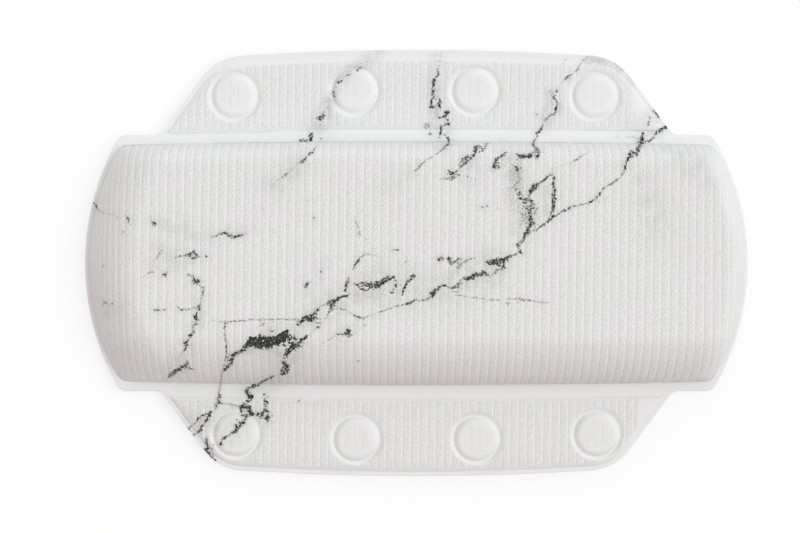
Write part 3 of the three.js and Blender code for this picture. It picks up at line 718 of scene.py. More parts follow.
def tilt_share(x, fade=BOLSTER_TILT_FADE):
    """1 where the ribs lean fully, 0 near the ends, where they stand upright."""
    start, width = fade
    return 1 - smooth((np.abs(x) - start) / width)


def rib_columns(phases, low, high, shift):
    """Places along the sheet with points at the same phases of each rib."""
    first, last = math.floor(low / PITCH) - 1, math.ceil(high / PITCH) + 1
    a = np.array([(k + p) * PITCH for k in range(first, last + 1) for p in phases]) - shift
    return a[(a > low) & (a < high)]


# Meshes


def new_piece(name, points, faces, material, attributes=None):
    """A closed mesh with its faces turned outwards."""
    mesh = bpy.data.meshes.new(name)
    mesh.from_pydata((np.asarray(points) * MM).tolist(), [], faces)
    for key, values in (attributes or {}).items():
        made = mesh.attributes.new(key, "FLOAT_VECTOR", "POINT")
        made.data.foreach_set("vector", values.astype(np.float32).ravel())
    mesh.polygons.foreach_set("use_smooth", [True] * len(mesh.polygons))
    mesh.materials.append(material)
    mesh.validate()
    mesh.update()
    piece = bpy.data.objects.new(name, mesh)
    bpy.context.scene.collection.objects.link(piece)
    bpy.context.view_layer.objects.active = piece
    bpy.ops.object.mode_set(mode="EDIT")
    bpy.ops.mesh.select_all(action="SELECT")
    bpy.ops.mesh.normals_make_consistent(inside=False)
    bpy.ops.object.mode_set(mode="OBJECT")
    return piece


def quads(first, second):
    """Faces between closed loops of point numbers and the loops next to them."""
    corners = [first, second, np.roll(second, -1, axis=1), np.roll(first, -1, axis=1)]
    return np.stack(corners, axis=-1).reshape(-1, 4).tolist()


def tube(columns, first, last):
    """Points and faces of closed loops in a row, with a fan to a point before and after them."""
    count, rows = columns.shape[:2]
    at = np.arange(count * rows).reshape(count, rows)
    end = count * rows
    fans = [[end, int(a), int(b)] for a, b in zip(at[0], np.roll(at[0], -1))]
    fans += [[end + 1, int(b), int(a)] for a, b in zip(at[-1], np.roll(at[-1], -1))]
    points = np.concatenate([columns.reshape(-1, 3), [first], [last]])
    return points, quads(at[:-1], at[1:]) + fans


def circle(cx, cy, radius, turns):
    """Points of a circle at some angles."""
    return np.column_stack([cx + radius * np.cos(turns), cy + radius * np.sin(turns)])


# The bolster's front, as columns of points across it


def column_x(x0, y):
    """Plan x at y of the column that crosses y = 0 at x0."""
    return x0 + TILT * y * tilt_share(x0)


def arc_table(side, samples=6000):
    """Plan x against distance along the sheet, from the middle to one end."""
    share = np.linspace(1, 0, samples)
    x = side * WELD.pole * (1 - share**2)
    z = crown(x, np.zeros_like(x))
    steps = np.hypot(np.diff(x), np.diff(z))
    return np.concatenate([[0], np.cumsum(steps)]), x


ARCS = {side: arc_table(side) for side in (-1, 1)}
END_ARC = {side: ARCS[side][0][-1] for side in (-1, 1)}


def plan_x(a):
    """Plan x of the sheet's coordinate a."""
    right = np.interp(a, *ARCS[1])
    left = np.interp(-a, *ARCS[-1])
    return np.where(a >= 0, right, left)


def sheet_a(x):
    """The sheet's coordinate a at plan x."""
    right = np.interp(x, ARCS[1][1], ARCS[1][0])
    left = np.interp(-x, -ARCS[-1][1], ARCS[-1][0])
    return np.where(x >= 0, right, -left)


def profile(x0, samples=160):
    """Points along each column from its lower to its upper end, and their distances from y = 0."""
    ends = []
    for side in (-1, 1):
        y = np.full_like(x0, WELD_REACH)
        for _ in range(6):
            y = WELD.y(column_x(x0, side * y))
        ends.append(side * y)
    share = 1 - np.linspace(1, 0, samples) ** 2
    y = np.concatenate([(ends[0][:, None] * share)[:, ::-1], (ends[1][:, None] * share)[:, 1:]], axis=1)
    x = column_x(x0[:, None], y)
    z = crown(x, y)
    steps = np.sqrt(np.diff(x) ** 2 + np.diff(y) ** 2 + np.diff(z) ** 2)
    arc = np.concatenate([np.zeros((len(x0), 1)), np.cumsum(steps, axis=1)], axis=1)
    return y, arc - arc[:, samples - 1 : samples]


def unroll(x, y):
    """Sheet coordinates of a place in plan on the bolster."""
    x0 = x.copy()
    for _ in range(6):
        x0 = x - TILT * y * tilt_share(x0)
    ys, arcs = profile(x0)
    b = np.array([np.interp(v, row, arc) for v, row, arc in zip(y, ys, arcs)])
    beyond = np.abs(y) - np.where(y > 0, ys[:, -1], -ys[:, 0])
    return sheet_a(x0), b + np.sign(y) * np.clip(beyond, 0, None)


def crown_normal(x, y, step=0.04):
    """Unit normals of the bolster's front."""
    dx = (crown(x + step, y) - crown(x - step, y)) / (2 * step)
    dy = (crown(x, y + step) - crown(x, y - step)) / (2 * step)
    normal = np.stack([-dx, -dy, np.ones_like(dx)], axis=-1)
    return normal / np.linalg.norm(normal, axis=-1, keepdims=True)


def bolster_front(rows=116, inner_rows=14):
    """Points, sheet coordinates and rib mask of the bolster's foam."""
    a = rib_columns(BOLSTER_PHASES, END_MARGIN - END_ARC[-1], END_ARC[1] - END_MARGIN, BOLSTER_SHIFT)
    x0 = plan_x(a)
    ys, arcs = profile(x0)
    share = np.linspace(0, 1, rows)
    b = arcs[:, :1] + (arcs[:, -1:] - arcs[:, :1]) * share
    y = np.array([np.interp(t, arc, row) for t, arc, row in zip(b, arcs, ys)])
    x = column_x(x0[:, None], y)
    normal = crown_normal(x, y)
    base = np.stack([x, y, SEAM_TOP + crown(x, y)], axis=-1)
    to_edge = np.minimum(b - b[:, :1], b[:, -1:] - b - UPPER_FLAT)
    to_end = np.where(a > 0, END_ARC[1] - a, END_ARC[-1] + a)[:, None]
    mask = smooth(to_edge / RIB_EDGE_FADE) * smooth(to_end / RIB_END_FADE)
    dent = RIB_DEPTH * channel(a + BOLSTER_SHIFT)[:, None] * mask
    outer = base - normal * dent[..., None]
    picks = np.round(np.linspace(rows - 1, 0, inner_rows)).astype(int)
    inner = base[:, picks] - normal[:, picks] * FOAM_WALL
    inner[:, [0, -1], 2] = WELD_PLANE
    inner[..., 2] = np.maximum(inner[..., 2], WELD_PLANE)
    points = np.concatenate([outer, inner], axis=1)
    sheet = np.stack([np.broadcast_to(a[:, None], b.shape), b, mask], axis=-1)
    return points, np.concatenate([sheet, sheet[:, picks] * [1, 1, 0]], axis=1)


# The welded strip round the bolster


def quarter_loop(loop, steps):
    """Points of a loop from its right end to the middle of its upper edge."""
    bow, bend, edge = steps
    bow_turns = np.linspace(0, loop.start, bow, endpoint=False)
    bend_turns = np.linspace(loop.start, math.pi / 2, bend, endpoint=False)
    x = np.linspace(loop.cx, 0, edge, endpoint=False)
    end = circle(BOW_CENTRE, 0, loop.end_radius, bow_turns)
    corner = circle(loop.cx, loop.cy, loop.corner, bend_turns)
    return np.concatenate([end, corner, np.column_stack([x, loop.edge(x)])])


def whole_loop(loop, steps=(70, 12, 165)):
    """Points all round a loop."""
    quarter = quarter_loop(loop, steps)
    middle = [[0, float(loop.edge(0.0))]]
    upper = np.concatenate([quarter, middle, (quarter * [-1, 1])[:0:-1]])
    return np.concatenate([upper, -upper])


def strip_ring(offset):
    """Points and faces of the strip, a closed band whose points are numbered from offset."""
    tucked = Loop(lambda x: weld_line(x) - TUCK, END_RADIUS - SIDE_RIM - TUCK, WELD_CORNER - TUCK)
    inner, outer = whole_loop(tucked), whole_loop(RIM)
    shares = (0, 0.12, 0.22, 0.4, 0.6, 0.8, 0.93, 0.996, 1, 1, 0.5, 0)
    heights = (0.1, 0.12, 0, 0, 0, 0, 0, 0, 0, -SHEET, -SHEET, -SHEET)
    rounding = (0, 0, 0, 0, 0, 0, 0, 0.25, 0.4, 0, 0, 0)
    free = smooth((np.abs(outer[:, 0]) - NOTCH_START) / RIM_FADE)
    section = []
    for share, height, drop in zip(shares, heights, rounding):
        plan = inner + (outer - inner) * share
        section.append(np.column_stack([plan, SEAM_TOP + height - drop * free]))
    points = np.stack(section, axis=1)
    at = np.arange(points.size // 3).reshape(points.shape[:2]).T + offset
    return points.reshape(-1, 3), quads(at, np.roll(at, -1, axis=0))


# The front of a flap


def on_rings(name, x, y):
    """Moves the points next to the edges of the ring welds on to them."""
    for radius in (RING_INNER, RING_OUTER, RING_OUTER + RING_FLARE):
        near = np.abs(nearest(RINGS[name], x, y) - radius) < RING_SNAP
        for cx, cy in RINGS[name]:
            away = np.hypot(x - cx, y - cy)
            scale = np.where(near & (away < radius + 2), radius / np.maximum(away, 1), 1)
            x, y = cx + (x - cx) * scale, cy + (y - cy) * scale
    return x, y


def rib_mask(name, x, y):
    """How far a flap's ribs show: on its pad, and less on the buttons inside its ring welds."""
    r = nearest(RINGS[name], x, y)
    pad = smooth((pad_depth(name, x, np.abs(y) - FOLD) - RIB_PAD_FADE) / RIB_PAD_FADE)
    around = smooth((r - RING_OUTER - RING_FLARE) / RIB_RING_FADE)
    ribbed = smooth((FLAPS[name]["ribs_to"] - x) / RIBS_TO_FADE)
    return pad * around * ribbed + BUTTON_RIB_SHARE * smooth((BUTTON_RIB_RADIUS - r) / BUTTON_RIB_FADE)


def flap_front(name, rows=96, under_rows=34):
    """Points, sheet coordinates and rib mask of a flap's foam."""
    side, shift = FLAPS[name]["side"], FLAPS[name]["rib_shift"]
    a = rib_columns(FLAP_PHASES, -FLAP_END, FLAP_END, shift)
    keep = tilt_share(a, FLAP_TILT_FADE)

    def place(v):
        """x and y of each column at v."""
        y = side * (FOLD + v)
        return a[:, None] + TILT * y * keep[:, None], y

    top = np.full((len(a), 1), FLAP_REACH / 2)
    for _ in range(8):
        top = flap_top(place(top)[0])
    start = STRIP_EDGE - FOLD
    shares = np.concatenate([[0, 0.0004], np.linspace(0, 1, rows - 2)[1:-1], [0.996, 1]])
    x, y = on_rings(name, *place(start + (top - start) * shares))
    mask = rib_mask(name, x, y)
    dent = RIB_DEPTH * FLAP_RIB_SHARE * channel(x - TILT * y + shift) * mask
    z = SEAM_TOP + flap_height(name, x, y) - dent
    z[:, -1] = SEAM_TOP - TIP_DROP
    under_x, under_y = place(start + (top - start) * np.linspace(1, 0, under_rows))
    pocket = smooth((POCKET_RADIUS - nearest(RINGS[name], under_x, under_y)) / POCKET_WALL)
    outer = np.stack([x, y, z], axis=-1)
    inner = np.stack([under_x, under_y, WELD_PLANE + POCKET_DEPTH * pocket], axis=-1)
    points = np.concatenate([outer, inner], axis=1)
    rib_a = points[..., 0] - TILT * points[..., 1] + shift
    full_mask = np.concatenate([mask, np.zeros_like(under_x)], axis=1)
    return points, np.stack([rib_a, points[..., 1], full_mask], axis=-1)


# The back sheets, the filling and the suction cups


def back_wrinkle(x, y):
    """How far the slack back sheet lifts in soft wrinkles."""
    waves = np.sin(x / 17 + 2.1 * np.sin(y / 33)) * np.cos(y / 21 + 1.4 * np.sin(x / 47))
    fine = np.sin(x / 7.3 - y / 11.9 + np.sin(y / 19)) * np.sin(x / 53 + 1.1)
    return WRINKLE * np.clip(waves, 0, 1) ** 2 + FINE_WRINKLE * np.clip(fine, 0, 1) ** 2


def bowed_grid(loop, length, columns, rows):
    """x and y of columns across a loop, closer together towards its ends."""
    x = length * np.sin(np.linspace(-1, 1, columns) * math.pi / 2)
    y = loop.y(x)[:, None] * np.linspace(-1, 1, rows)
    return np.broadcast_to(x[:, None], y.shape), y


def lens(x, y, top, bottom):
    """Closed columns from a top and a bottom height."""
    over = np.stack([x, y, top], axis=-1)
    under = np.stack([x, y, bottom], axis=-1)
    return np.concatenate([over, under[:, ::-1]], axis=1)


def bolster_back():
    """Columns of the bulged back sheet of the bolster."""
    x, y = bowed_grid(RIM, END_X - END_INSET, columns=150, rows=64)
    lift = back_wrinkle(x, y) * smooth(bulge(x, y) / WRINKLE_FADE)
    bottom = LIP_PLANE - bulge(x, y) + lift
    return lens(x, y, bottom + SHEET - FRONT_GAP, bottom)


def filling_body():
    """Columns of the filling, which stays clear of the front in every direction."""
    gap = FOAM_WALL + FILLING_GAP
    loop = Loop(lambda x: weld_line(x) - gap, END_RADIUS - SIDE_RIM - gap, WELD_CORNER - gap)
    x, y = bowed_grid(loop, loop.pole - END_INSET, columns=110, rows=48)
    heights = [crown(x, y) - gap]
    for share in (0.7, 1):
        for turn in np.arange(8) * math.pi / 4:
            near = crown(x + share * gap * math.cos(turn), y + share * gap * math.sin(turn))
            heights.append(near - gap * math.sqrt(1 - share**2))
    top = SEAM_TOP + np.min(heights, axis=0)
    bottom = WELD_PLANE - bulge(x, y) + FILLING_LIFT
    return lens(x, y, np.maximum(top, bottom + FILLING_EDGE), bottom)


def cup_profile():
    """Radius and height of a cup's rings from its hollow to its head, and of its two middle points."""
    lip_inner = CUP_LIP_RADIUS - CUP_LIP_WIDTH
    shares = np.linspace(0.08, 0.98, 12)
    hollow = [(lip_inner * t, CUP_HOLLOW_DEPTH * (1 - t**2) ** CUP_HOLLOW_POWER) for t in shares]
    lip = [(lip_inner, CUP_BEVEL / 2), (lip_inner + CUP_BEVEL, 0), (CUP_LIP_RADIUS, 0)]
    up, run = CUP_CROWN_HEIGHT - CUP_LIP_THICKNESS, CUP_LIP_RADIUS - CUP_CROWN_RADIUS
    shares = np.linspace(0, 1, 10)
    bell = [(CUP_LIP_RADIUS - run * t, CUP_LIP_THICKNESS + up * t**CUP_BELL_POWER) for t in shares]
    collar_top = LIP_PLANE - SHEET_GAP
    head_bottom = WELD_PLANE + SHEET_GAP
    head_top = head_bottom + CUP_HEAD_THICKNESS
    stem = [
        (CUP_CROWN_RADIUS, collar_top - CUP_COLLAR_HEIGHT),
        (CUP_COLLAR_RADIUS, collar_top - CUP_COLLAR_HEIGHT / 2),
        (CUP_COLLAR_RADIUS, collar_top),
        (CUP_NECK_RADIUS, collar_top),
        (CUP_NECK_RADIUS, head_bottom),
        (CUP_HEAD_RADIUS, head_bottom),
    ]
    corner = CUP_HEAD_RADIUS - CUP_HEAD_ROUNDING
    turns = np.linspace(0, math.pi / 2, 4)
    head = circle(corner, head_top - CUP_HEAD_ROUNDING, CUP_HEAD_ROUNDING, turns).tolist()
    inside = [(corner * share, head_top) for share in (0.6, 0.2)]
    return hollow + lip + bell + stem + head + inside, [(0, CUP_HOLLOW_DEPTH), (0, head_top)]


def suction_cup(cx, cy, segments=64):
    """Points and faces of a cup."""
    rings, middle = cup_profile()
    turns = np.arange(segments) * 2 * math.pi / segments
    columns = [np.column_stack([circle(cx, cy, r, turns), np.full(segments, z)]) for r, z in rings]
    return tube(np.array(columns), *[(cx, cy, z) for _, z in middle])


def flap_outline(steps=(10, 12, 16, 24)):
    """Plan points of a flap's outline from the right end of its base, counterclockwise, v outwards."""
    notch_steps, side_steps, bend_steps, tip_steps = steps
    x = np.linspace(FLAP_END, NOTCH_START, notch_steps, endpoint=False)
    v = np.linspace(flap_top(np.array([NOTCH_START - 0.1]))[0], OUTLINE.v, side_steps)
    slanted = np.column_stack([BASE_HALF - SLOPE * v, v])
    turns = np.linspace(OUTLINE.low, OUTLINE.high, bend_steps)
    bend = circle(OUTLINE.u, OUTLINE.v, FLAP_CORNER, turns)
    slanted = slanted[slanted[:, 1] < bend[0, 1] - 1]
    tip_x = np.linspace(bend[-1, 0], 0, tip_steps)[1:]
    tip = np.column_stack([tip_x, FLAP_REACH - tip_x**2 / (2 * TIP_RADIUS)])
    right = np.concatenate([np.column_stack([x, flap_top(x)]), slanted, bend, tip])
    return np.concatenate([right, right[-2::-1] * [-1, 1]])


def flap_plan(name, base_steps=56, hole_steps=32):
    """Plan points and triangles of a flap's back sheet, with a hole for the neck of each cup."""
    start = STRIP_EDGE - FOLD
    radius = CUP_NECK_RADIUS + NECK_CLEARANCE
    centres = [(cx, abs(cy) - FOLD) for cx, cy in CUPS[name]]
    edge = flap_outline()
    base_x = np.linspace(edge[-1, 0], edge[0, 0], base_steps)
    base = np.column_stack([base_x, np.full(len(base_x), start)])
    turns = np.arange(hole_steps) * 2 * math.pi / hole_steps
    loops = [np.concatenate([edge, base])] + [circle(cx, cv, radius, turns) for cx, cv in centres]
    bend_rows = np.arange(start + GRID_BEND_ROW, GRID_BEND_REACH, GRID_BEND_ROW)
    rows = np.concatenate([bend_rows, np.arange(GRID_BEND_REACH, FLAP_REACH, GRID_ROW)])
    gx, gv = np.meshgrid(np.arange(-NOTCH_X, NOTCH_X, GRID_COLUMN), rows)
    keep = (OUTLINE.depth(gx, gv) > GRID_MARGIN) & (flap_top(gx) - gv > GRID_MARGIN)
    keep &= nearest(centres, gx, gv) > radius + 1
    edges = []
    for loop in loops:
        at = len(edges)
        edges += [(at + i, at + (i + 1) % len(loop)) for i in range(len(loop))]
    plan = np.concatenate(loops + [np.column_stack([gx[keep], gv[keep]])])
    made = geometry.delaunay_2d_cdt([Vector(p) for p in plan], edges, [], 1, 1e-5)
    plan = np.array([tuple(p) for p in made[0]])
    triangles = [tuple(t) for t in made[2]]
    middles = np.array([plan[list(t)].mean(axis=0) for t in triangles])
    away = nearest(centres, middles[:, 0], middles[:, 1])
    return plan, [t for t, distance in zip(triangles, away) if distance > radius]


def flap_back(name):
    """Points and faces of a flap's back sheet."""
    plan, triangles = flap_plan(name)
    count = len(plan)
    y = FLAPS[name]["side"] * (FOLD + plan[:, 1])
    heights = (WELD_PLANE - FRONT_GAP, LIP_PLANE)
    layers = [np.column_stack([plan[:, 0], y, np.full(count, z)]) for z in heights]
    borders = {}
    for t in triangles:
        for a, b in zip(t, t[1:] + t[:1]):
            pair = frozenset((a, b))
            borders[pair] = None if pair in borders else (a, b)
    walls = [(a, b, b + count, a + count) for a, b in filter(None, borders.values())]
    faces = triangles + [tuple(i + count for i in reversed(t)) for t in triangles] + walls
    return np.concatenate(layers), faces


# The marble print


def in_plan(x, y):
    """Sheet coordinates of a place on a part that lies flat."""
    return x, y


def stretches(place):
    """Both ends of each short stretch of vein: place, half width and darkness."""
    strokes = STROKES + [[dot] for dot in DOTS]
    points = [p for stroke in strokes for p in stroke]
    x, y = plan_of(np.array([p[:2] for p in points], float))
    u, v = place(x, y)
    half = np.array([p[2] * PIXEL / 2 + INK_SPREAD for p in points])
    paler = [min(1, THIN_DARKNESS + WIDTH_DARKNESS * p[2]) for p in points]
    dark = np.array([(p[3] if len(p) > 3 else 1) * share for p, share in zip(points, paler)])
    table = np.column_stack([u, v, half, dark])
    found = []
    for rows in np.split(table, np.cumsum([len(stroke) for stroke in strokes])[:-1]):
        found += list(zip(rows[:-1], rows[1:])) or [(rows[0], rows[0])]
    return found


def across_stretch(points, start, end):
    """Vectors from a stretch to points, and the stretch's own values beside them."""
    run = (end - start)[:2]
    share = np.clip((points - start[:2]) @ run / max(run @ run, 1e-9), 0, 1)
    values = start + share[:, None] * (end - start)
    return points - values[:, :2], values[:, 2], values[:, 3]


def print_on(sheet, place, reach=9):
    """The nearest vein and the clouds at each point of a sheet."""
    away = np.full((len(sheet), 2), 2.0 * reach)
    best = np.full(len(sheet), 2.0 * reach)
    ink = np.zeros((len(sheet), 3))
    for start, end in stretches(place):
        low = np.minimum(start, end)[:2] - reach
        high = np.maximum(start, end)[:2] + reach
        near = np.flatnonzero(((sheet > low) & (sheet < high)).all(axis=1))
        gap, half, dark = across_stretch(sheet[near], start, end)
        score = np.linalg.norm(gap, axis=1) - half
        better = score < best[near]
        chosen = near[better]
        best[chosen], away[chosen] = score[better], gap[better]
        ink[chosen, 0], ink[chosen, 1] = half[better], dark[better]
    distance = np.linalg.norm(away, axis=1)
    width = np.minimum(ink[:, 0], HALO_WIDTH)
    halo = HALO_STRENGTH * ink[:, 1] * width * np.exp(-np.clip(best, 0, None) / HALO_REACH)
    ink[:, 2] = np.maximum(halo, CLOUD_STRENGTH * clouds(sheet, place))
    return np.column_stack([away, distance]), ink


def clouds(sheet, place):
    """How strong the soft grey clouds are at each point of a sheet."""
    total = np.zeros(len(sheet))
    for veil in VEILS:
        x, y = plan_of(np.array([p[:2] for p in veil], float))
        u, v = place(x, y)
        rows = np.column_stack([u, v, [p[2] * PIXEL for p in veil], [p[3] for p in veil]])
        here = np.zeros(len(sheet))
        for start, end in zip(rows[:-1], rows[1:]):
            gap, half, strength = across_stretch(sheet, start, end)
            here = np.maximum(here, strength * np.exp(-((np.linalg.norm(gap, axis=1) / half) ** 2)))
        total = np.maximum(total, here)
    return total


def printed(sheet, at, place):
    """What the print's material reads at each point: sheet coordinates, nearest vein and ink."""
    vein, ink = print_on(at, place)
    return {"sheet": sheet, "vein": vein, "ink": ink}


# Materials


class Nodes:
    """Short calls for the nodes of a tree."""

    def __init__(self, tree):
        self.tree = tree

    def feed(self, value, socket):
        """Links an output to a socket, or sets the socket's own value."""
        if isinstance(value, bpy.types.NodeSocket):
            self.tree.links.new(value, socket)
        else:
            socket.default_value = value

    def add(self, kind, *values):
        """A new node, with a value or a link for each of its first inputs."""
        made = self.tree.nodes.new(kind)
        for value, socket in zip(values, made.inputs):
            self.feed(value, socket)
        return made

    def math(self, operation, *values):
        made = self.add("ShaderNodeMath", *values)
        made.operation = operation
        return made.outputs[0]

    def plus(self, first, second):
        return self.math("ADD", first, second)

    def minus(self, first, second):
        return self.math("SUBTRACT", first, second)

    def times(self, first, second):
        return self.math("MULTIPLY", first, second)

    def line(self, value, slope, level):
        """value times slope, plus level."""
        return self.math("MULTIPLY_ADD", value, slope, level)

    def vector(self, operation, *values):
        made = self.add("ShaderNodeVectorMath", *values)
        made.operation = operation
        return made.outputs["Value" if operation in ("LENGTH", "DOT_PRODUCT") else "Vector"]

    def scaled(self, vector, factor):
        return self.vector("MULTIPLY", vector, (factor, factor, factor))

    def flat(self, vector):
        """A vector without its third part."""
        return self.vector("MULTIPLY", vector, (1, 1, 0))

    def attribute(self, name):
        made = self.add("ShaderNodeAttribute")
        made.attribute_name = name
        return made.outputs["Vector"]

    def place(self):
        """The point's own coordinates on the piece, in millimetres."""
        return self.scaled(self.add("ShaderNodeTexCoord").outputs["Object"], 1 / MM)

    def parts(self, vector):
        return self.add("ShaderNodeSeparateXYZ", vector).outputs

    def turned(self, vector, degrees, scale):
        """A vector turned in the sheet's plane and then scaled."""
        made = self.add("ShaderNodeVectorRotate", vector)
        made.rotation_type = "Z_AXIS"
        made.inputs["Angle"].default_value = math.radians(degrees)
        return self.vector("MULTIPLY", made.outputs[0], scale)

    def noise(self, vector, scale, detail=2, output=0):
        made = self.add("ShaderNodeTexNoise", vector)
        made.inputs["Scale"].default_value = scale
        made.inputs["Detail"].default_value = detail
        return made.outputs[output]

    def wobble(self, vector, scale, detail, size):
        """A vector from noise that reaches half of size each way."""
        about_zero = self.vector("SUBTRACT", self.noise(vector, scale, detail, 1), (0.5, 0.5, 0.5))
        return self.scaled(about_zero, size)

    def ramp(self, value, low, high, to_low=0.0, to_high=1.0, curve="SMOOTHSTEP"):
        """A passage from to_low, where the value is low, to to_high, where it is high."""
        made = self.add("ShaderNodeMapRange", value, low, high, to_low, to_high)
        made.interpolation_type = curve
        return made.outputs[0]

    def mix(self, share, first, second):
        """One colour passing into another."""
        made = self.tree.nodes.new("ShaderNodeMix")
        made.data_type = "RGBA"
        self.feed(share, made.inputs["Factor"])
        for value, socket in zip((first, second), [i for i in made.inputs if i.type == "RGBA"]):
            self.feed(value if isinstance(value, bpy.types.NodeSocket) else (*value, 1), socket)
        return [o for o in made.outputs if o.type == "RGBA"][0]


class Shader(Nodes):
    """A material with a Principled shader."""

    def __init__(self, name):
        self.material = bpy.data.materials.new(name)
        self.material.use_nodes = True
        super().__init__(self.material.node_tree)
        self.shader = self.tree.nodes["Principled BSDF"]

    def set(self, name, value):
        self.feed(value, self.shader.inputs[name])

    def bump(self, height):
        """A bump from a height in millimetres."""
        made = self.add("ShaderNodeBump")
        made.inputs["Strength"].default_value = 1
        made.inputs["Distance"].default_value = MM
        self.feed(height, made.inputs["Height"])
        self.feed(made.outputs[0], self.shader.inputs["Normal"])


def vein_ink(s, plane, half, dark, clump):
    """How dark the veins are: lines with a broken edge, crumbling where they are wide."""
    vein = s.attribute("vein")
    warp = s.vector("ADD", s.wobble(plane, 0.5, 3, VEIN_WARP), s.wobble(plane, 1.3, 1, VEIN_FINE_WARP))
    moved = s.vector("LENGTH", s.flat(s.vector("ADD", vein, warp)))
    distance = s.math("MAXIMUM", moved, s.minus(s.parts(vein)[2], VEIN_REACH))
    mottle = s.noise(plane, 0.35, 3)
    width = s.times(half, s.ramp(mottle, 0.3, 0.7, 0.7, 1.35))
    solid = s.ramp(s.minus(distance, width), 1.1, -0.6, 0, VEIN_DARKNESS)
    heavy = s.times(s.ramp(half, 1.2, 3.5, 0, 0.3), s.ramp(distance, 5, 3))
    solid = s.plus(solid, heavy)
    crumble = s.times(s.minus(clump, 0.5), s.ramp(half, 0.5, 1.4, 1.6, 2.9))
    broken = s.plus(s.plus(solid, crumble), s.line(mottle, 1.2, -0.6))
    return s.times(s.ramp(broken, 0.32, 0.95), s.times(dark, s.ramp(solid, 0, 0.3)))


def marble(s, plane):
    """Colour of the print: an uneven white with grey clouds, dust and veins."""
    half, dark, cloud = s.parts(s.attribute("ink"))
    clump = s.noise(plane, 0.62, 3)
    dust = s.line(cloud, 1.1, s.line(clump, 2.6, -1.3))
    specks = s.times(s.ramp(dust, 0.55, 1), DUST_DARKNESS)
    ink = s.math("MAXIMUM", vein_ink(s, plane, half, dark, clump), specks)
    patch = s.ramp(s.noise(plane, 0.09, 4), 0.3, 0.7, 0.3, 1.5)
    veil = s.times(s.times(cloud, patch), s.ramp(s.noise(plane, 1, 3), 0.3, 0.7, 0.2, 1.1))
    tone = s.ramp(s.noise(plane, 0.02, 3), 0.35, 0.65)
    blotch = s.times(s.ramp(s.noise(plane, 0.3, 4), 0.42, 0.72), BLOTCH_SHARE)
    base = s.mix(blotch, s.mix(tone, PRINT_WARM, PRINT_COOL), PRINT_BLOTCH)
    return s.mix(ink, s.mix(veil, base, PRINT_CLOUD), PRINT_INK)


def stitches(s, plane, turn, b):
    """Slanted dents of the knit on the body of each rib."""
    body = s.times(s.ramp(turn, 0.06, 0.16), s.ramp(turn, 0.84, 0.72))
    wander = s.line(s.noise(plane, 0.28, 2), 1.4, -0.7)
    along = s.minus(b, s.times(turn, STITCH_SLOPE * PITCH))
    phase = s.math("FRACT", s.plus(s.math("DIVIDE", along, STITCH_PITCH), wander))
    off = s.math("ABSOLUTE", s.minus(phase, 0.5))
    return s.times(s.times(s.ramp(off, 0.34, 0.1), s.ramp(s.noise(plane, 0.85, 1), 0.4, 0.58)), body)


def foam_vinyl():
    """Foamed vinyl with a printed marble and knitted ribs."""
    s = Shader("foam_vinyl")
    sheet = s.attribute("sheet")
    a, b, mask = s.parts(sheet)
    plane = s.flat(sheet)
    turn = s.math("FRACT", s.math("DIVIDE", a, PITCH))
    dent = s.times(stitches(s, plane, turn, b), mask)
    groove = s.times(s.math("MAXIMUM", s.ramp(turn, 0.09, 0.02), s.ramp(turn, 0.97, 1)), mask)
    cell = s.noise(plane, 0.62, 2)
    # Painted shade: the colour darkens in the stitch dents and in the grooves between ribs; the cell term
    # darkens the foam's grain
    shade = s.plus(s.times(dent, DENT_PAINTED_SHADE), s.times(groove, GROOVE_PAINTED_SHADE))
    shade = s.plus(shade, s.times(s.ramp(cell, 0.52, 0.7), s.times(mask, CELL_SHADE)))
    s.set("Base Color", s.mix(shade, marble(s, plane), KNIT_PAINTED_SHADE_AND_GRAIN))

    fleck = s.noise(s.turned(plane, FLECK_TURN, FLECK_SCALE), 1, 1)
    skin = s.times(cell, s.line(mask, KNIT_GRAIN, PLAIN_GRAIN))
    skin = s.plus(skin, s.times(fleck, s.times(mask, FLECK_RISE)))
    s.bump(s.minus(skin, s.plus(s.times(dent, STITCH_DEPTH), s.times(groove, GROOVE_DEPTH))))
    s.set("Roughness", 0.6)
    s.set("Specular IOR Level", 0.35)
    return s.material


def back_vinyl():
    """Plain glossy white sheet with a fine grain."""
    s = Shader("back_vinyl")
    place = s.place()
    tone = s.ramp(s.noise(place, 0.03, 3), 0.35, 0.65)
    s.set("Base Color", s.mix(tone, BACK_LIGHT, BACK_DARK))
    s.bump(s.times(s.noise(place, 0.7, 2), BACK_GRAIN))
    s.set("Roughness", 0.32)
    return s.material


def clear_vinyl():
    """Clear vinyl with a slight blue tint."""
    s = Shader("clear_vinyl")
    place = s.place()
    s.set("Base Color", s.mix(s.noise(place, 0.08, 2), CUP_LIGHT, CUP_BLUE))
    s.bump(s.times(s.noise(place, 0.2, 1), CUP_GRAIN))
    s.set("Roughness", 0.14)
    s.set("Transmission Weight", 0.75)
    s.set("IOR", 1.5)
    return s.material


def filling_fibre():
    """Cream wadding with fine strands."""
    s = Shader("filling")
    strands = s.noise(s.vector("MULTIPLY", s.place(), STRAND_SCALE), 0.9, 4)
    s.set("Base Color", s.mix(strands, FIBRE_DARK, FIBRE_LIGHT))
    s.bump(s.times(strands, STRAND_RELIEF))
    s.set("Roughness", 0.95)
    return s.material


foam, vinyl, clear, fibre = foam_vinyl(), back_vinyl(), clear_vinyl(), filling_fibre()


# Pieces


def end_points(columns, out=0.0):
    """A point in the middle of the first and of the last column, moved out a little."""
    return columns[0].mean(axis=0) - [out, 0, 0], columns[-1].mean(axis=0) + [out, 0, 0]


def sheet_rows(sheet):
    """Sheet coordinates of all points of a tube, those of its two end points last."""
    return np.concatenate([sheet.reshape(-1, 3), sheet[[0, -1]].mean(axis=1)])


def back_piece(name, points, faces, node):
    """A part of the back sheet in place of a node of the solids."""
    sheet = new_piece(name, points, faces, vinyl)
    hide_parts(node)
    return sheet


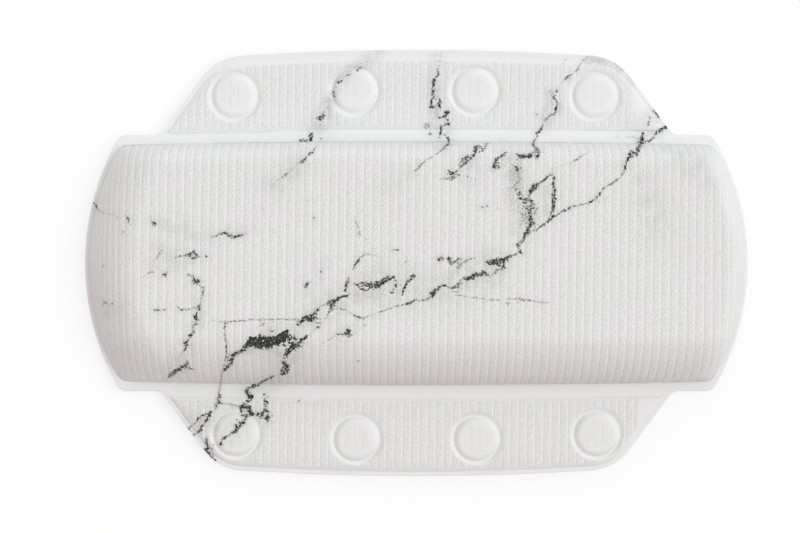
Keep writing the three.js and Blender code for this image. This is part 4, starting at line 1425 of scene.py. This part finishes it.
def make_bolster():
    """The foam front of the bolster and the welded strip round it, as one piece."""
    columns, sheet = bolster_front()
    points, faces = tube(columns, *end_points(columns, END_CAP))
    sheet = sheet_rows(sheet)
    front = printed(sheet + [BOLSTER_SHIFT, 0, 0], sheet[:, :2], unroll)
    ring_points, ring_faces = strip_ring(len(points))
    ring = printed(ring_points * [1, 1, 0], ring_points[:, :2], in_plan)
    points = np.concatenate([points, ring_points])
    attributes = {key: np.concatenate([front[key], ring[key]]) for key in front}
    bolster = new_piece("bolster_skin", points, faces + ring_faces, foam, attributes)
    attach(bolster, "bolster")
    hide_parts("bolster_cover")


def make_bolster_back():
    """The bulged back sheet of the bolster."""
    columns = bolster_back()
    points, faces = tube(columns, *end_points(columns, END_CAP))
    back = back_piece("bolster_back_sheet", points, faces, "bolster_back")
    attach(back, "bolster")


def make_filling():
    """The soft body inside the bolster."""
    columns = filling_body()
    points, faces = tube(columns, *end_points(columns))
    filling = new_piece("filling_body", points, faces, fibre)
    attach(filling, "bolster")
    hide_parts("bolster_filling")


def make_flap(name):
    """The foam front of a flap and its back sheet."""
    columns, sheet = flap_front(name)
    points, faces = tube(columns, *end_points(columns))
    attributes = printed(sheet_rows(sheet), points[:, :2], in_plan)
    skin = new_piece(f"{name}_flap_skin", points, faces, foam, attributes)
    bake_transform(skin)
    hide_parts(f"{name}_flap_cover")

    points, faces = flap_back(name)
    back = back_piece(f"{name}_flap_back_sheet", points, faces, f"{name}_flap_back")
    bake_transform(back)


def make_cups(name):
    """The four suction cups of a flap."""
    for i, (cx, cy) in enumerate(CUPS[name], start=1):
        points, faces = suction_cup(cx, cy)
        cup = new_piece(f"{name}_cup_{i}_moulding", points, faces, clear)
        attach(cup, f"{name}_cup_{i}")
        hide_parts(f"{name}_suction_cup_{i}")


make_bolster()
make_bolster_back()
make_filling()
for name in FLAPS:
    make_flap(name)
    make_cups(name)

# Floor and light


def plain_rays(nodes):
    """1 for the rays that show the background itself: to the camera, and through gloss and glass."""
    path = nodes.add("ShaderNodeLightPath").outputs
    found = path["Is Camera Ray"]
    for name in ("Is Glossy Ray", "Is Transmission Ray"):
        found = nodes.math("MAXIMUM", found, path[name])
    return found


def mixed(nodes, share, first, second):
    """One shader passing into another."""
    return nodes.add("ShaderNodeMixShader", share, first.outputs[0], second.outputs[0])


def floor_paper():
    """White paper, lifted towards white where it shows, which keeps the shadow on it."""
    paper = bpy.data.materials.new("floor_paper")
    paper.use_nodes = True
    nodes = Nodes(paper.node_tree)
    nodes.tree.nodes.clear()
    lit = nodes.add("ShaderNodeBsdfDiffuse", FLOOR_COLOUR)
    bright = nodes.add("ShaderNodeBsdfDiffuse", WHITE)
    seen = mixed(nodes, FLOOR_LIFT, bright, nodes.add("ShaderNodeEmission"))
    nodes.add("ShaderNodeOutputMaterial", mixed(nodes, plain_rays(nodes), lit, seen).outputs[0])
    return paper


def lay_floor():
    """A wide floor just under the lips of the cups."""
    corners = [(x * FLOOR_HALF * MM, y * FLOOR_HALF * MM, -FLOOR_GAP * MM) for x, y in FLOOR_CORNERS]
    mesh = bpy.data.meshes.new("floor")
    mesh.from_pydata(corners, [], [(0, 1, 2, 3)])
    mesh.materials.append(floor_paper())
    floor = bpy.data.objects.new("floor", mesh)
    bpy.context.scene.collection.objects.link(floor)


def light_sky():
    """A sky a little stronger over the upper flap and warmer over the lower one, white where it shows."""
    world = bpy.data.worlds.new("studio")
    bpy.context.scene.world = world
    world.use_nodes = True
    nodes = Nodes(world.node_tree)
    lean = nodes.vector("DOT_PRODUCT", nodes.add("ShaderNodeTexCoord").outputs["Generated"], SKY_LEAN)
    tint = nodes.mix(nodes.ramp(lean, -SKY_REACH, SKY_REACH, curve="LINEAR"), SKY_WARM, SKY_COOL)
    sky = nodes.tree.nodes["Background"]
    nodes.feed(tint, sky.inputs["Color"])
    nodes.feed(nodes.plus(lean, SKY_STRENGTH), sky.inputs["Strength"])
    seen = mixed(nodes, plain_rays(nodes), sky, nodes.add("ShaderNodeBackground", WHITE))
    nodes.feed(seen.outputs[0], nodes.tree.nodes["World Output"].inputs["Surface"])


def hang_lamp():
    """A soft light from the right, as from a window."""
    data = bpy.data.lights.new("window", "SUN")
    data.energy, data.color, data.angle = LAMP_STRENGTH, LAMP_COLOUR, math.radians(LAMP_ANGLE)
    lamp = bpy.data.objects.new("window", data)
    bpy.context.scene.collection.objects.link(lamp)
    turn, up = math.radians(LAMP_TURN), math.radians(LAMP_HEIGHT)
    towards = Vector((math.cos(turn) * math.cos(up), math.sin(turn) * math.cos(up), math.sin(up)))
    lamp.rotation_mode = "QUATERNION"
    lamp.rotation_quaternion = towards.to_track_quat("Z", "Y")


lay_floor()
light_sky()
hang_lamp()

# Camera
camera_data = bpy.data.cameras.new("camera")
camera_data.sensor_width = SENSOR
camera_data.lens = FOCAL_PIXELS * SENSOR / IMAGE_WIDTH
camera = bpy.data.objects.new("camera", camera_data)
camera.location = Vector(CAMERA) * MM
bpy.context.scene.collection.objects.link(camera)
bpy.context.scene.camera = camera
bpy.context.scene.view_settings.view_transform = "Standard"
